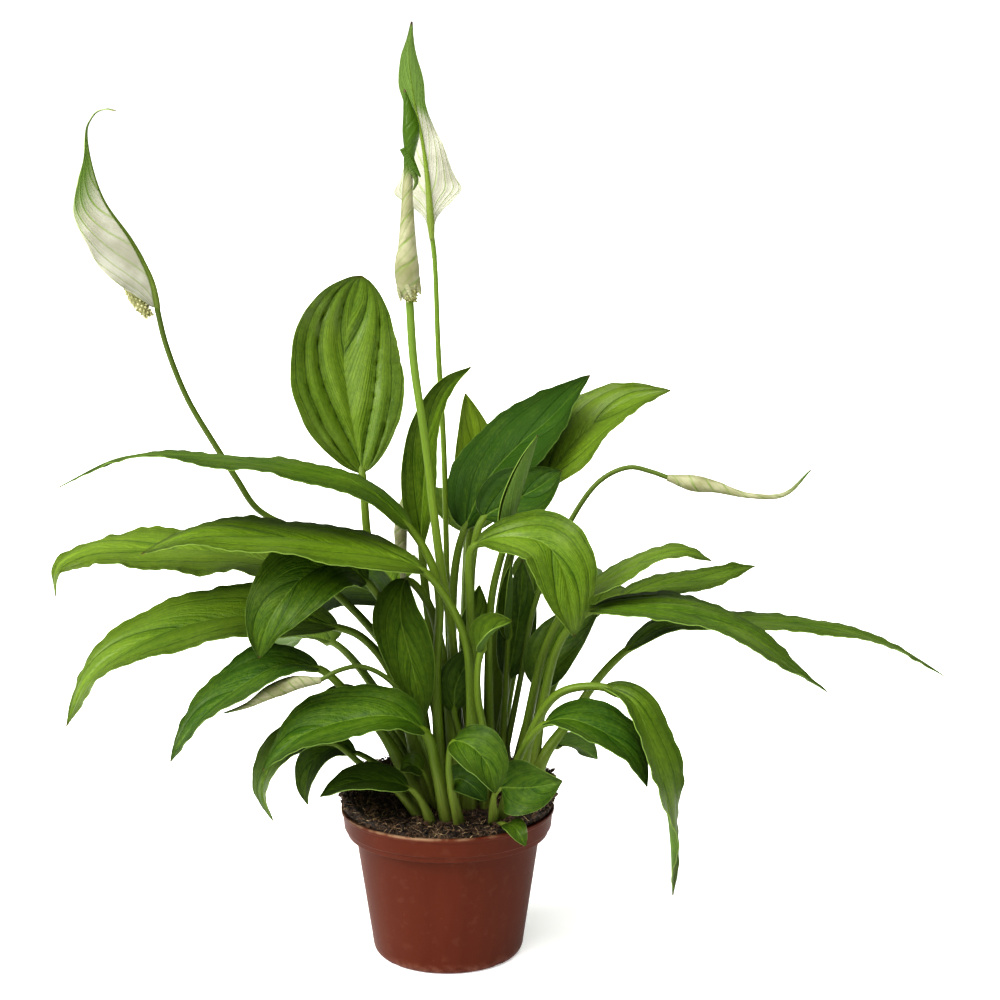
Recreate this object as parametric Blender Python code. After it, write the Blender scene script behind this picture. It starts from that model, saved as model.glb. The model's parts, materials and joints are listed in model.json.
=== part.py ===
"""A peace lily in a 12 cm plastic pot: pot, soil, leaves, flower stalks, spathes and spadices.

The origin is on the pot's axis, on the surface it stands on. +Z is up and the plant's front is -Y.
Routes, widths and sizes below are in millimetres; the meshes are in metres.
"""

import math
from typing import NamedTuple

import bmesh
import bpy
import numpy as np
from mathutils import Matrix

MM = 0.001

# The pot: a turned plastic shell with a deep collar and a stepped foot.
RIM_RADIUS = 60.0
POT_HEIGHT = 84.0
COLLAR_DEPTH = 11.2
COLLAR_RADIUS = 58.4
STEP_DEPTH = 3.2
STEP_RADIUS = 56.8
BODY_TOP_RADIUS = 51.9
BODY_BASE_RADIUS = 42.6
BASE_CORNER = 6.0
WALL = 1.4
FLOOR = 3.0
FOOT_RECESS = 1.4
HUB_RADIUS = 12.0
FOOT_INNER_RADIUS = 26.0
DRAIN_HOLES = 6
DRAIN_RADIUS = 3.2
CHANNELS = 4
CHANNEL_WIDTH = 6.0
LIP_HEIGHT = 1.0
LIP_INSET = 0.6
STEP_INSET = 0.4
FLOOR_CORNER = 2.0
TURNS = 48

# The soil: it fills the pot and stands above the rim at the back and at both sides.
SOIL_GAP = 0.5
SOIL_CENTRE = 88.0
SOIL_REACH = 55.0
SOIL_SIDE_RISE = 8.0
SOIL_BACK_RISE = 6.0
SHOULDER_START = 49.0
SOIL_EDGE = 83.5

# Leaves, stalks and flowers.
ROOT_GAP = 0.5
SOIL_SLOPE = 0.25
BLADE_THICKNESS = 0.9
LEAF_TAPER = 0.9
STALK_RINGS = 4
BLADE_RINGS = (0.08, 0.2, 0.36, 0.54, 0.72, 0.86, 0.95, 1.0)
ROUTE_SAMPLES = 160


class Leaf(NamedTuple):
    """A leaf on its stalk, grown as one piece.

    route starts at (x, y) on the soil; blade_at is the station where the blade starts. face_base and
    face_tip are the ways that the blade's upper side looks. fold is the angle of each half along the
    midrib and cup the further turn towards the margins, in degrees. stalk is the stalk's width at the
    soil, and widest is where the blade is widest, as a share of its length.
    """

    route: list
    blade_at: int
    width: float
    face_base: tuple
    face_tip: tuple
    fold: float = 8.0
    cup: float = 6.0
    stalk: float = 4.4
    widest: float = 0.4


LEAVES = {
    # Left side, top to bottom.
    "leaf_broad_upright": Leaf(
        [(-2, 14), (-31, 29, 160), (-47, 51, 225), (-51, 62, 264), (-58, 72, 300), (-62, 82, 335),
          (-52, 88, 378)],
        3, 68, (0.2, -1.0, 0.3), (0.3, -1.0, 0.4), 6, 10, widest=0.5),
    "leaf_long_left": Leaf(
        [(-3, -6), (-6, -13, 158), (-5, -14, 215), (-19, -10, 243), (-45, -12, 267), (-79, -16, 277),
          (-131, -24, 285), (-172, -32, 285), (-205, -36, 270)],
        3, 60, (-0.2, -0.15, 1.0), (-0.3, 0.05, 1.0), 0, -4),
    "leaf_front_left": Leaf(
        [(12, -16), (14, -20, 147), (9, -24, 190), (-11, -28, 223), (-32, -31, 233), (-61, -34, 240),
          (-95, -40, 245), (-129, -44, 247), (-160, -46, 236)],
        3, 60, (0.0, -0.2, 1.0), (-0.3, -0.2, 1.0), 2, -6),
    "leaf_wavy_left": Leaf(
        [(-8, 6), (-28, 13, 160), (-72, 16, 209), (-110, 25, 221), (-141, 28, 225), (-175, 28, 226),
          (-204, 26, 225), (-220, 24, 216), (-223, 22, 199)],
        2, 54, (0.0, -0.15, 1.0), (-0.8, -0.3, 0.5), 2, -6),
    "leaf_drooping_left": Leaf(
        [(-9, -3), (-20, -10, 170), (-43, -15, 215), (-58, -26, 227), (-73, -38, 224), (-86, -46, 211),
          (-94, -50, 197), (-98, -53, 181)],
        2, 46, (0.0, -0.6, 1.0), (-0.2, -1.0, 0.2)),
    "leaf_big_low_left": Leaf(
        [(-11, -10), (-30, -12, 162), (-47, -10, 183), (-60, -8, 188), (-108, -8, 195),
          (-158, -10, 185), (-193, -14, 166), (-210, -16, 134)],
        3, 56, (0.0, -0.35, 1.0), (-0.6, -0.4, 0.7), 4, 4),
    "leaf_shaded_left": Leaf(
        [(-9, 13), (-24, 20, 155), (-35, 27, 194), (-56, 36, 202), (-78, 44, 190), (-95, 52, 171)],
        2, 40, (-0.1, -0.5, 0.9), (-0.6, -0.4, 0.7)),
    "leaf_low_left": Leaf(
        [(-14, -18), (-34, -24, 131), (-52, -30, 155), (-68, -34, 171), (-88, -42, 175),
          (-109, -50, 165), (-129, -56, 150), (-145, -60, 127)],
        3, 45, (-0.2, -0.3, 0.9), (-0.7, -0.3, 0.6)),
    "leaf_bright_front": Leaf(
        [(1, -28), (-5, -36, 116), (-11, -44, 139), (-26, -50, 149), (-50, -57, 149), (-76, -65, 142),
          (-95, -69, 125)],
        2, 46, (0.1, -0.4, 0.9), (-0.6, -0.4, 0.7), 10, 8, 5.6),
    "leaf_soil_left": Leaf(
        [(-9, -33), (-14, -37, 99), (-20, -41, 107), (-33, -45, 112), (-51, -49, 112), (-67, -51, 105)],
        2, 26, (0.0, -0.4, 0.9), (-0.4, -0.3, 0.9), 8, 6, 3.2),
    "leaf_small_hooked": Leaf(
        [(-17, -26), (-28, -30, 103), (-45, -34, 117), (-61, -38, 131), (-78, -42, 133),
          (-92, -46, 123), (-98, -47, 107), (-93, -47, 90)],
        3, 30, (-0.1, -0.3, 1.0), (-0.9, -0.4, 0.1), 10, 8, 3.2),
    "leaf_small_hanging": Leaf(
        [(-21, -13), (-31, -18, 107), (-50, -22, 121), (-64, -25, 124), (-73, -28, 117),
          (-77, -30, 104), (-76, -31, 94)],
        2, 22, (0.0, -0.4, 0.9), (-0.8, -0.6, 0.1), 10, 8, 3.0),
    "leaf_small_tipped": Leaf(
        [(-16, -3), (-26, -8, 121), (-44, -12, 144), (-56, -14, 151), (-65, -16, 150), (-74, -17, 147)],
        2, 18, (0.0, -0.3, 1.0), (-0.2, -0.3, 1.0), 10, 8, 3.0),
    "leaf_tiny_left": Leaf(
        [(-6, -16), (-9, -23, 102), (-13, -28, 112), (-19, -30, 116), (-25, -30, 113)],
        2, 16, (0.0, -0.5, 0.8), (-0.2, -0.5, 0.8), 10, 8, 2.6),
    # Centre.
    "leaf_hanging_centre": Leaf(
        [(5, -6), (0, 0, 150), (-10, -4, 200), (-22, -10, 215), (-25, -18, 199), (-19, -22, 172),
          (-12, -23, 140)],
        3, 33, (-0.4, -0.5, 0.8), (0.2, -1.0, 0.1), 24, 10),
    "leaf_half_rolled": Leaf(
        [(0, 8), (-9, 20, 169), (-15, 26, 228), (-14, 30, 259), (-10, 32, 293), (-1, 30, 315),
          (13, 24, 329)],
        2, 27, (-0.3, -1.0, 0.0), (-0.4, -0.8, 0.4), 24, 30),
    "leaf_rear_upright": Leaf(
        [(12, 28), (9, 60, 165), (12, 78, 234), (15, 84, 275), (9, 82, 309)],
        2, 26, (0.0, -1.0, 0.2), (0.0, -1.0, 0.3)),
    "leaf_young_inner": Leaf(
        [(13, -4), (12, -2, 134), (13, 0, 168), (15, 0, 190), (18, 0, 210)],
        2, 20, (0.2, -0.9, 0.1), (0.2, -0.9, 0.1), 20, 20, 3.2),
    "leaf_young_folded": Leaf(
        [(21, -18), (21, -26, 129), (17, -30, 158), (19, -32, 180), (26, -36, 192), (36, -38, 198)],
        3, 26, (-0.6, -0.7, 0.3), (-0.3, -0.7, 0.6), 20, 10, 3.6),
    "leaf_young_spear": Leaf(
        [(29, 4), (32, 10, 142), (34, 14, 176), (36, 16, 198), (36, 16, 220)],
        2, 16, (-0.8, -0.5, 0.2), (-0.8, -0.5, 0.2), 30, 60, 3.2),
    "leaf_tall_spear": Leaf(
        [(24, -3), (23, -5, 167), (25, -6, 206), (32, -4, 234), (39, -2, 256), (45, -2, 276),
          (50, -4, 294)],
        3, 20, (-0.8, -0.5, 0.3), (-0.8, -0.5, 0.3), 30, 60, 4.0),
    "leaf_small_front": Leaf(
        [(7, -36), (2, -50, 120), (5, -60, 138), (14, -68, 138), (23, -72, 129), (27, -74, 114)],
        2, 28, (0.0, -0.6, 0.8), (0.5, -0.8, 0.3), 10, 8, 3.0),
    "leaf_rim_front": Leaf(
        [(26, -38), (26, -46, 103), (30, -52, 110), (38, -58, 112), (48, -63, 114), (62, -69, 119)],
        2, 30, (0.1, -1.0, 0.3), (0.1, -1.0, 0.3), 4, 4, 2.8, 0.3),
    "leaf_over_rim": Leaf(
        [(30, -43), (33, -55, 91), (37, -63, 92), (40, -68, 89), (43, -70, 84)],
        1, 12, (0.0, -0.5, 0.9), (0.2, -0.9, 0.3), 10, 8, 2.0),
    "leaf_crown_centre": Leaf(
        [(11, -9), (7, -7, 127), (4, -6.5, 140), (5, -6.5, 155), (12, -7, 168), (21, -8, 177)],
        2, 22, (0.0, -1.0, 0.15), (0.0, -1.0, 0.15), 2, 2, 3.4),
    "leaf_crown_right": Leaf(
        [(35, 5), (46, 6, 125), (51, 5, 150), (58, 6, 170), (71, 7, 185), (86, 9, 197)],
        2, 30, (-0.2, -0.9, 0.4), (-0.2, -0.7, 0.7), 6, 6, 3.6),
    "leaf_crown_back": Leaf(
        [(22, 14), (29, 14, 120), (34, 18, 152), (38, 20, 174), (41, 22, 197), (42, 22, 220)],
        2, 22, (0.0, -1.0, 0.1), (0.0, -1.0, 0.1), 6, 6, 3.6),
    "leaf_soil_centre": Leaf(
        [(5, -28), (3, -34, 98), (2, -38, 108), (8, -42, 112), (15, -46, 109), (22, -50, 102)],
        2, 18, (0.1, -0.8, 0.5), (0.3, -0.8, 0.4), 10, 8, 2.6),
    # Right side, top to bottom.
    "leaf_dark_upper_right": Leaf(
        [(8, 13), (2, 28, 167), (4, 40, 215), (9, 46, 234), (21, 54, 260), (40, 60, 281),
          (58, 62, 296), (81, 56, 322)],
        3, 54, (-0.5, -0.7, 0.5), (-0.5, -0.6, 0.7)),
    "leaf_upper_right": Leaf(
        [(32, 18), (28, 36, 171), (38, 46, 227), (53, 52, 257), (67, 58, 277), (83, 64, 293),
         (104, 68, 306), (129, 70, 312)],
        3, 48, (-0.4, -0.6, 0.7), (-0.2, -0.4, 0.9)),
    "leaf_dark_inner_right": Leaf(
        [(17, 6), (13, 10, 171), (14, 16, 222), (20, 21, 244), (34, 26, 252), (50, 29, 260),
          (64, 31, 270)],
        3, 40, (-0.2, -0.8, 0.5), (-0.3, -0.7, 0.6)),
    "leaf_drooping_right": Leaf(
        [(18, -10), (16, -12, 147), (13, -14, 208), (15, -17, 235), (35, -26, 242), (54, -34, 239),
          (63, -40, 226), (67, -44, 207), (69, -45, 191)],
        3, 40, (0.0, -0.5, 0.9), (0.5, -0.9, 0.2), widest=0.5),
    "leaf_flat_right": Leaf(
        [(39, 1), (47, -6, 146), (56, -8, 181), (69, -10, 203), (87, -13, 215), (108, -16, 227),
          (130, -20, 232), (144, -22, 228)],
        3, 46, (0.0, -0.1, 1.0), (0.2, -0.1, 1.0), 2, -4),
    "leaf_rear_right": Leaf(
        [(38, 10), (52, 18, 146), (72, 24, 184), (98, 28, 198), (121, 30, 204), (147, 32, 208),
          (175, 32, 215)],
        3, 42, (0.0, -0.1, 1.0), (0.0, -0.1, 1.0), 2, -4),
    "leaf_arching_right": Leaf(
        [(46, -12), (53, -18, 149), (63, -22, 185), (78, -26, 201), (102, -34, 205), (131, -42, 203),
          (163, -48, 191), (183, -50, 176), (203, -52, 163)],
        3, 50, (0.0, -0.15, 1.0), (0.5, -0.1, 0.9), 4, 0),
    "leaf_long_right": Leaf(
        [(46, -20), (54, -18, 118), (67, -12, 135), (84, -4, 158), (99, 2, 172), (122, 8, 186),
          (173, 14, 187), (224, 16, 181), (259, 16, 168), (281, 14, 155)],
        4, 46, (0.0, 0.0, 1.0), (0.3, 0.0, 1.0), 2, -6),
    "leaf_twisted_right": Leaf(
        [(38, -28), (46, -34, 134), (61, -44, 160), (84, -54, 166), (98, -60, 161), (107, -66, 144),
          (115, -70, 118), (119, -72, 90), (121, -70, 57)],
        3, 30, (0.0, -0.3, 1.0), (1.0, -0.25, 0.1), 14, 8),
    "leaf_low_right": Leaf(
        [(31, -34), (40, -42, 125), (53, -54, 146), (65, -62, 151), (82, -70, 147), (97, -76, 137),
          (106, -78, 119)],
        2, 34, (0.1, -0.4, 0.9), (0.8, -0.5, 0.3), 10, 8, 3.6),
    "leaf_upturned_right": Leaf(
        [(46, -5), (52, -3, 110), (60, -3, 119), (72, -6, 120), (84, -8, 113)],
        2, 24, (-0.2, 0.6, 0.7), (-0.1, 0.6, 0.7), 10, 8, 3.0),
    # Rear, from left round to right.
    "leaf_back_left_low": Leaf(
        [(-14, 18), (-40, 50, 132), (-72, 86, 158), (-104, 118, 150), (-122, 136, 122)],
        2, 48, (0.0, 0.0, 1.0), (-0.5, 0.5, 0.7)),
    "leaf_back_left": Leaf(
        [(3, 28), (-14, 66, 150), (-34, 104, 190), (-56, 144, 194), (-72, 172, 168)],
        2, 54, (0.0, -0.1, 1.0), (-0.2, 0.6, 0.8)),
    "leaf_back_centre": Leaf(
        [(6, 34), (8, 66, 160), (10, 100, 222), (14, 142, 240), (16, 186, 214)],
        2, 56, (0.0, -0.2, 1.0), (0.0, 0.6, 0.8)),
    "leaf_back_right": Leaf(
        [(26, 30), (36, 66, 140), (50, 100, 184), (68, 132, 192), (84, 164, 164)],
        2, 54, (0.0, -0.1, 1.0), (0.3, 0.5, 0.8)),
    "leaf_back_right_low": Leaf(
        [(40, 24), (60, 50, 140), (84, 78, 176), (110, 100, 184), (136, 116, 168)],
        2, 50, (0.0, 0.0, 1.0), (0.5, 0.4, 0.8)),
}


class Spathe(NamedTuple):
    """An open spathe: a cupped blade with (distance along from 0 to 1, half width) pairs.

    Its inner side looks the way face_base and face_tip say.
    """

    route: list
    widths: list
    face_base: tuple
    face_tip: tuple
    fold: float
    cup: float


class Spindle(NamedTuple):
    """A round piece: a rolled bud or a spadix, with (distance along the route from 0 to 1, radius) pairs."""

    route: list
    radii: list


STALKS = {
    "stalk_left_flower": (
        [(-12, 22), (-24, 42, 150), (-46, 62, 200), (-74, 66, 226), (-100, 64, 235), (-113, 61, 244),
          (-124, 58, 262), (-136, 57, 282), (-151, 56, 309), (-162, 54, 340), (-166, 52, 360)], 4.4, 3.2),
    "stalk_rear_flower": (
        [(2, 21), (-1, 42, 193), (-3, 52, 279), (-6, 57, 336), (-8, 61, 388), (-10, 62, 405)], 4.0, 2.8),
    "stalk_centre_bud": (
        [(7, 2), (3, 4, 178), (-4, 6, 223), (-12, 8, 290), (-18, 8, 334), (-20, 8, 367)], 5.2, 4.4),
    "stalk_right_bud": (
        [(29, 11), (41, 12, 154), (49, 14, 196), (66, 16, 238), (85, 16, 266), (101, 14, 274),
          (113, 12, 272), (122, 10, 269)], 3.6, 2.8),
    "stalk_low_bud": (
        [(1, -20), (-12, -22, 124), (-28, -33, 162), (-44, -42, 174), (-56, -50, 174), (-65, -54, 170)],
        3.4, 2.6),
    "stalk_inner_bud": (
        [(-2, 22), (-11, 26, 144), (-21, 32, 183), (-26, 34, 207)], 3.2, 3.0),
}

SPATHES = {
    "spathe_left": Spathe(
        [(-167, 52, 361), (-169, 51, 374), (-173, 50, 385), (-180, 49, 399), (-194, 48, 421),
          (-200, 46, 443), (-200, 44, 462), (-184, 40, 470)],
        [(0.0, 1.6), (0.07, 11), (0.2, 22), (0.36, 25), (0.5, 21), (0.62, 10), (0.72, 3.5), (0.85, 1.4),
         (1.0, 0.5)],
        (-1.0, -0.1, 0.2), (-0.9, -0.2, 0.3), 52, 14),
    "spathe_rear": Spathe(
        [(-10, 63, 406), (-12, 67, 433), (-16, 70, 455), (-21, 68, 478), (-24, 64, 500), (-20, 58, 520)],
        [(0.0, 1.6), (0.08, 12), (0.17, 20), (0.3, 14), (0.45, 9), (0.6, 8), (0.72, 8.5), (0.86, 5),
         (1.0, 0.5)],
        (0.0, 1.0, 0.2), (-0.2, 0.9, -0.3), 12, 30),
}

BUDS = {
    "bud_centre": Spindle(
        [(-20, 8, 368), (-21, 8, 384), (-21, 8, 410), (-20, 10, 439), (-19, 12, 461), (-22, 12, 480)],
        [(0.0, 3.4), (0.12, 6.4), (0.22, 6.6), (0.48, 4.2), (0.66, 2.5), (0.74, 3.4), (0.84, 4.2),
         (1.0, 0.5)]),
    "bud_right": Spindle(
        [(123, 10, 268.5), (135, 8, 266), (149, 6, 264), (167, 2, 260), (186, 0, 261), (200, -2, 275)],
        [(0.0, 2.0), (0.16, 4.6), (0.32, 3.2), (0.5, 1.8), (0.8, 1.3), (1.0, 0.4)]),
    "bud_low": Spindle(
        [(-66, -54, 169.5), (-79, -57, 169), (-92, -59, 164), (-103, -61, 158), (-116, -63, 154)],
        [(0.0, 1.8), (0.25, 3.9), (0.5, 3.8), (0.72, 1.8), (1.0, 0.4)]),
    "bud_inner": Spindle(
        [(-26, 34, 208), (-27, 36, 223), (-27, 37, 241), (-23, 38, 258), (-21, 38, 281)],
        [(0.0, 1.6), (0.2, 3.2), (0.6, 3.0), (0.78, 1.2), (1.0, 0.4)]),
}

SPADICES = {
    "spadix_left": Spindle(
        [(-170, 51.5, 355.5), (-175, 51, 362), (-179.5, 50.5, 370), (-183.5, 50, 380)],
        [(0.0, 2.0), (0.25, 3.6), (0.75, 3.6), (1.0, 1.2)]),
    "spadix_rear": Spindle(
        [(-10, 67, 411), (-12, 74, 424), (-14, 79, 438), (-16, 82, 452)],
        [(0.0, 2.2), (0.2, 4.0), (0.75, 4.0), (1.0, 1.2)]),
}


def clear_scene():
    for obj in list(bpy.data.objects):
        bpy.data.objects.remove(obj, do_unlink=True)


def material(name, colour, roughness, metallic=0.0):
    made = bpy.data.materials.new(name)
    made.use_nodes = True
    shader = made.node_tree.nodes["Principled BSDF"]
    shader.inputs["Base Color"].default_value = (*colour, 1.0)
    shader.inputs["Roughness"].default_value = roughness
    shader.inputs["Metallic"].default_value = metallic
    made.diffuse_color = (*colour, 1.0)
    return made


def add_object(name, mesh, surface):
    """An object in the scene from a closed bmesh given in millimetres, shaded smooth."""
    bmesh.ops.recalc_face_normals(mesh, faces=mesh.faces[:])
    if mesh.calc_volume(signed=True) < 0:
        bmesh.ops.reverse_faces(mesh, faces=mesh.faces[:])
    bmesh.ops.scale(mesh, vec=(MM, MM, MM), verts=mesh.verts[:])
    data = bpy.data.meshes.new(name)
    mesh.to_mesh(data)
    mesh.free()
    data.materials.append(surface)
    data.shade_smooth()
    data.set_sharp_from_angle(angle=math.radians(40))
    made = bpy.data.objects.new(name, data)
    bpy.context.scene.collection.objects.link(made)
    return made


def turned(name, profile, surface, turns=TURNS):
    """A solid of revolution about Z from a closed (radius, height) profile that starts and ends on Z."""
    mesh = bmesh.new()
    points = [mesh.verts.new((radius, 0.0, height)) for radius, height in profile]
    edges = [mesh.edges.new(pair) for pair in zip(points, points[1:])]
    bmesh.ops.spin(
        mesh, geom=points + edges, cent=(0, 0, 0), axis=(0, 0, 1), angle=math.tau, steps=turns,
        use_merge=True, use_duplicate=False)
    bmesh.ops.remove_doubles(mesh, verts=mesh.verts[:], dist=0.001)
    return add_object(name, mesh, surface)


def cut(target, cutter):
    cutter.hide_render = True
    cutter.display_type = "WIRE"
    step = target.modifiers.new(cutter.name, "BOOLEAN")
    step.operation = "DIFFERENCE"
    step.object = cutter


def wall_radius(height):
    """The pot's inner radius at a height above the floor's corner."""
    step_top = POT_HEIGHT - COLLAR_DEPTH
    step_base = step_top - STEP_DEPTH
    heights = (FLOOR, BASE_CORNER, step_base - WALL, step_base + WALL, POT_HEIGHT)
    base = BODY_BASE_RADIUS - WALL
    step = STEP_RADIUS - WALL - STEP_INSET
    radii = (base - FLOOR_CORNER, base, BODY_TOP_RADIUS - WALL, step, RIM_RADIUS - WALL - LIP_INSET)
    return float(np.interp(height, heights, radii))


def make_pot(surface):
    step_top = POT_HEIGHT - COLLAR_DEPTH
    step_base = step_top - STEP_DEPTH
    foot_radius = BODY_BASE_RADIUS - BASE_CORNER + 1.0
    corner = [
        (
            BODY_BASE_RADIUS - BASE_CORNER * 0.75 * (1 - math.cos(angle)),
            BASE_CORNER * (1 - math.sin(angle)),
        )
        for angle in (0.0, math.radians(35), math.radians(65))
    ]
    outside = [
        (0.0, 0.0),
        (HUB_RADIUS, 0.0),
        (HUB_RADIUS, FOOT_RECESS),
        (FOOT_INNER_RADIUS, FOOT_RECESS),
        (FOOT_INNER_RADIUS, 0.0),
        (foot_radius, 0.0),
        *reversed(corner),
        (BODY_TOP_RADIUS, step_base - LIP_HEIGHT),
        (STEP_RADIUS, step_base),
        (STEP_RADIUS + STEP_INSET, step_top),
        (COLLAR_RADIUS, step_top + LIP_INSET),
        (RIM_RADIUS, POT_HEIGHT - LIP_HEIGHT),
        (RIM_RADIUS - LIP_INSET, POT_HEIGHT),
    ]
    inside = [
        (wall_radius(height), height)
        for height in (POT_HEIGHT, step_base + WALL, step_base - WALL, BASE_CORNER, FLOOR)
    ]
    pot = turned("pot", outside + inside + [(0.0, FLOOR)], surface)
    ring = (HUB_RADIUS + FOOT_INNER_RADIUS) / 2
    for index in range(DRAIN_HOLES):
        angle = math.tau * (index + 0.5) / DRAIN_HOLES
        mesh = bmesh.new()
        bmesh.ops.create_cone(
            mesh, cap_ends=True, segments=12, radius1=DRAIN_RADIUS, radius2=DRAIN_RADIUS, depth=4 * FLOOR)
        centre = (ring * math.cos(angle), ring * math.sin(angle), 0)
        bmesh.ops.translate(mesh, vec=centre, verts=mesh.verts[:])
        cut(pot, add_object(f"cutter_drain_{index + 1}", mesh, surface))
    for index in range(CHANNELS):
        angle = math.tau * (index + 0.5) / CHANNELS
        length = foot_radius + BASE_CORNER - FOOT_INNER_RADIUS + 4.0
        middle = FOOT_INNER_RADIUS - 2.0 + length / 2
        mesh = bmesh.new()
        bmesh.ops.create_cube(mesh, size=1.0)
        bmesh.ops.scale(mesh, vec=(length, CHANNEL_WIDTH, 2 * FOOT_RECESS), verts=mesh.verts[:])
        bmesh.ops.translate(mesh, vec=(middle, 0, -0.05), verts=mesh.verts[:])
        bmesh.ops.rotate(mesh, cent=(0, 0, 0), matrix=Matrix.Rotation(angle, 3, "Z"), verts=mesh.verts[:])
        cut(pot, add_object(f"cutter_channel_{index + 1}", mesh, surface))


def soil_height(x, y):
    mound = SOIL_CENTRE + SOIL_SIDE_RISE * (x / SOIL_REACH) ** 2 + SOIL_BACK_RISE * y / SOIL_REACH
    shoulder = np.interp(math.hypot(x, y), (SHOULDER_START, RIM_RADIUS), (0.0, 1.0)) ** 2
    return mound * (1.0 - shoulder) + SOIL_EDGE * shoulder


def make_soil(surface):
    top = wall_radius(POT_HEIGHT) - 2 * SOIL_GAP
    step_base = POT_HEIGHT - COLLAR_DEPTH - STEP_DEPTH
    profile = [(0.0, FLOOR + SOIL_GAP), (wall_radius(FLOOR) - 2 * SOIL_GAP, FLOOR + SOIL_GAP)]
    for height in (BASE_CORNER + 1.0, step_base - WALL - 0.6, step_base + WALL + 0.6):
        profile.append((wall_radius(height - 0.8) - 2 * SOIL_GAP, height))
    for radius in (top, top - 4.0, top - 10.0, top - 22.0, top - 36.0, 8.0, 0.0):
        profile.append((radius, POT_HEIGHT))
    soil = turned("soil", profile, surface)
    for vertex in soil.data.vertices:
        x, y, z = (axis / MM for axis in vertex.co)
        if z > POT_HEIGHT - 1.0:
            vertex.co.z = soil_height(x, y) * MM
    soil.data.update()


def along(route):
    """A smooth curve through the route's stations: its points, and how far along each one is."""
    stations = np.array(route, float)
    chords = np.linalg.norm(np.diff(stations, axis=0), axis=1)
    knots = np.concatenate([[0.0], np.cumsum(np.sqrt(chords))])
    slopes = np.gradient(stations, knots, axis=0)
    fine = np.linspace(0.0, knots[-1], ROUTE_SAMPLES)
    piece = np.clip(np.searchsorted(knots, fine, side="right") - 1, 0, len(knots) - 2)
    span = (knots[piece + 1] - knots[piece])[:, None]
    part = ((fine - knots[piece])[:, None]) / span
    points = (
        stations[piece] * (2 * part**3 - 3 * part**2 + 1)
        + stations[piece + 1] * (3 * part**2 - 2 * part**3)
        + slopes[piece] * span * (part**3 - 2 * part**2 + part)
        + slopes[piece + 1] * span * (part**3 - part**2)
    )
    steps = np.linalg.norm(np.diff(points, axis=0), axis=1)
    distances = np.concatenate([[0.0], np.cumsum(steps)])
    marks = np.interp(knots, fine, distances)
    return points, distances, marks


def unit(vector):
    return vector / np.linalg.norm(vector)


def at_distance(table, distances, distance):
    return np.array([np.interp(distance, distances, table[:, axis]) for axis in range(3)])


class Section(NamedTuple):
    """One cross-section: how far along, half width, half thickness, and the turn of its halves."""

    distance: float
    half_width: float
    half_thickness: float
    fold: float
    cup: float
    face: tuple


def section_ring(centre, side, up, section, count):
    """The section's points, from one margin over the upper side to the other and back underneath."""
    ring = []
    for index in range(count):
        angle = math.tau * index / count
        lean = math.cos(angle)
        reach = abs(lean) * section.half_width
        turn = math.radians(section.fold)
        curl = math.radians(section.cup) * abs(lean) / 2
        across = reach * math.cos(turn + curl)
        rise = reach * math.sin(turn + curl)
        normal = turn + 2 * curl
        lift = math.sin(angle) * section.half_thickness
        sign = math.copysign(1.0, lean)
        outward = across - lift * math.sin(normal)
        upward = rise + lift * math.cos(normal)
        ring.append(centre + side * sign * outward + up * upward)
    return ring


def loft(name, route, sections, surface, count=8):
    """A closed body swept along the route through the sections, capped at both ends."""
    points, distances, _ = along(route)
    tangents = np.gradient(points, distances, axis=0)
    mesh = bmesh.new()
    rings = []
    for section in sections:
        centre = at_distance(points, distances, section.distance)
        forward = unit(at_distance(tangents, distances, section.distance))
        face = np.array(section.face, float)
        up = unit(face - forward * face.dot(forward))
        side = np.cross(forward, up)
        ring = section_ring(centre, side, up, section, count)
        rings.append([mesh.verts.new(point) for point in ring])
    for first, second in zip(rings, rings[1:]):
        edges = []
        for ring in (first, second):
            edges += [
                mesh.edges.get(pair) or mesh.edges.new(pair)
                for pair in zip(ring, ring[1:] + ring[:1])
            ]
        bmesh.ops.bridge_loops(mesh, edges=edges)
    mesh.faces.new(rings[0])
    mesh.faces.new(rings[-1])
    return add_object(name, mesh, surface)


def leaf_outline(part, widest):
    """Half width along a blade as a share of the widest: a rounded base and a drawn-out tip."""
    fullness = LEAF_TAPER * widest / (1.0 - widest)
    return (part / widest) ** fullness * ((1.0 - part) / (1.0 - widest)) ** LEAF_TAPER


def grounded(route, radius):
    """The route with its first station just above the soil, clear of it where the stalk leans."""
    x, y = route[0]
    base = np.array([x, y, soil_height(x, y)])
    first = unit(np.array(route[1]) - base)
    lean = math.hypot(first[0], first[1])
    return [(x, y, base[2] + ROOT_GAP + radius * (lean + SOIL_SLOPE)), *route[1:]]


def make_leaf(name, leaf, surface):
    route = grounded(leaf.route, leaf.stalk / 2)
    _, distances, marks = along(route)
    blade_start = marks[leaf.blade_at]
    length = distances[-1] - blade_start
    sections = []
    for part in np.linspace(0.0, 1.0, STALK_RINGS):
        radius = leaf.stalk / 2 * (1.0 - 0.4 * part)
        sections.append(Section(part * blade_start, radius, radius, 0.0, 0.0, leaf.face_base))
    for part in BLADE_RINGS:
        face = np.array(leaf.face_base) * (1 - part) + np.array(leaf.face_tip) * part
        thickness = BLADE_THICKNESS / 2 * (1.0 + 1.2 * (1.0 - part) ** 6)
        half_width = max(0.35, leaf.width / 2 * leaf_outline(part, leaf.widest))
        thickness = min(thickness, half_width)
        sections.append(
            Section(blade_start + part * length, half_width, thickness, leaf.fold, leaf.cup, tuple(face)))
    loft(name, route, sections, surface)


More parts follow.
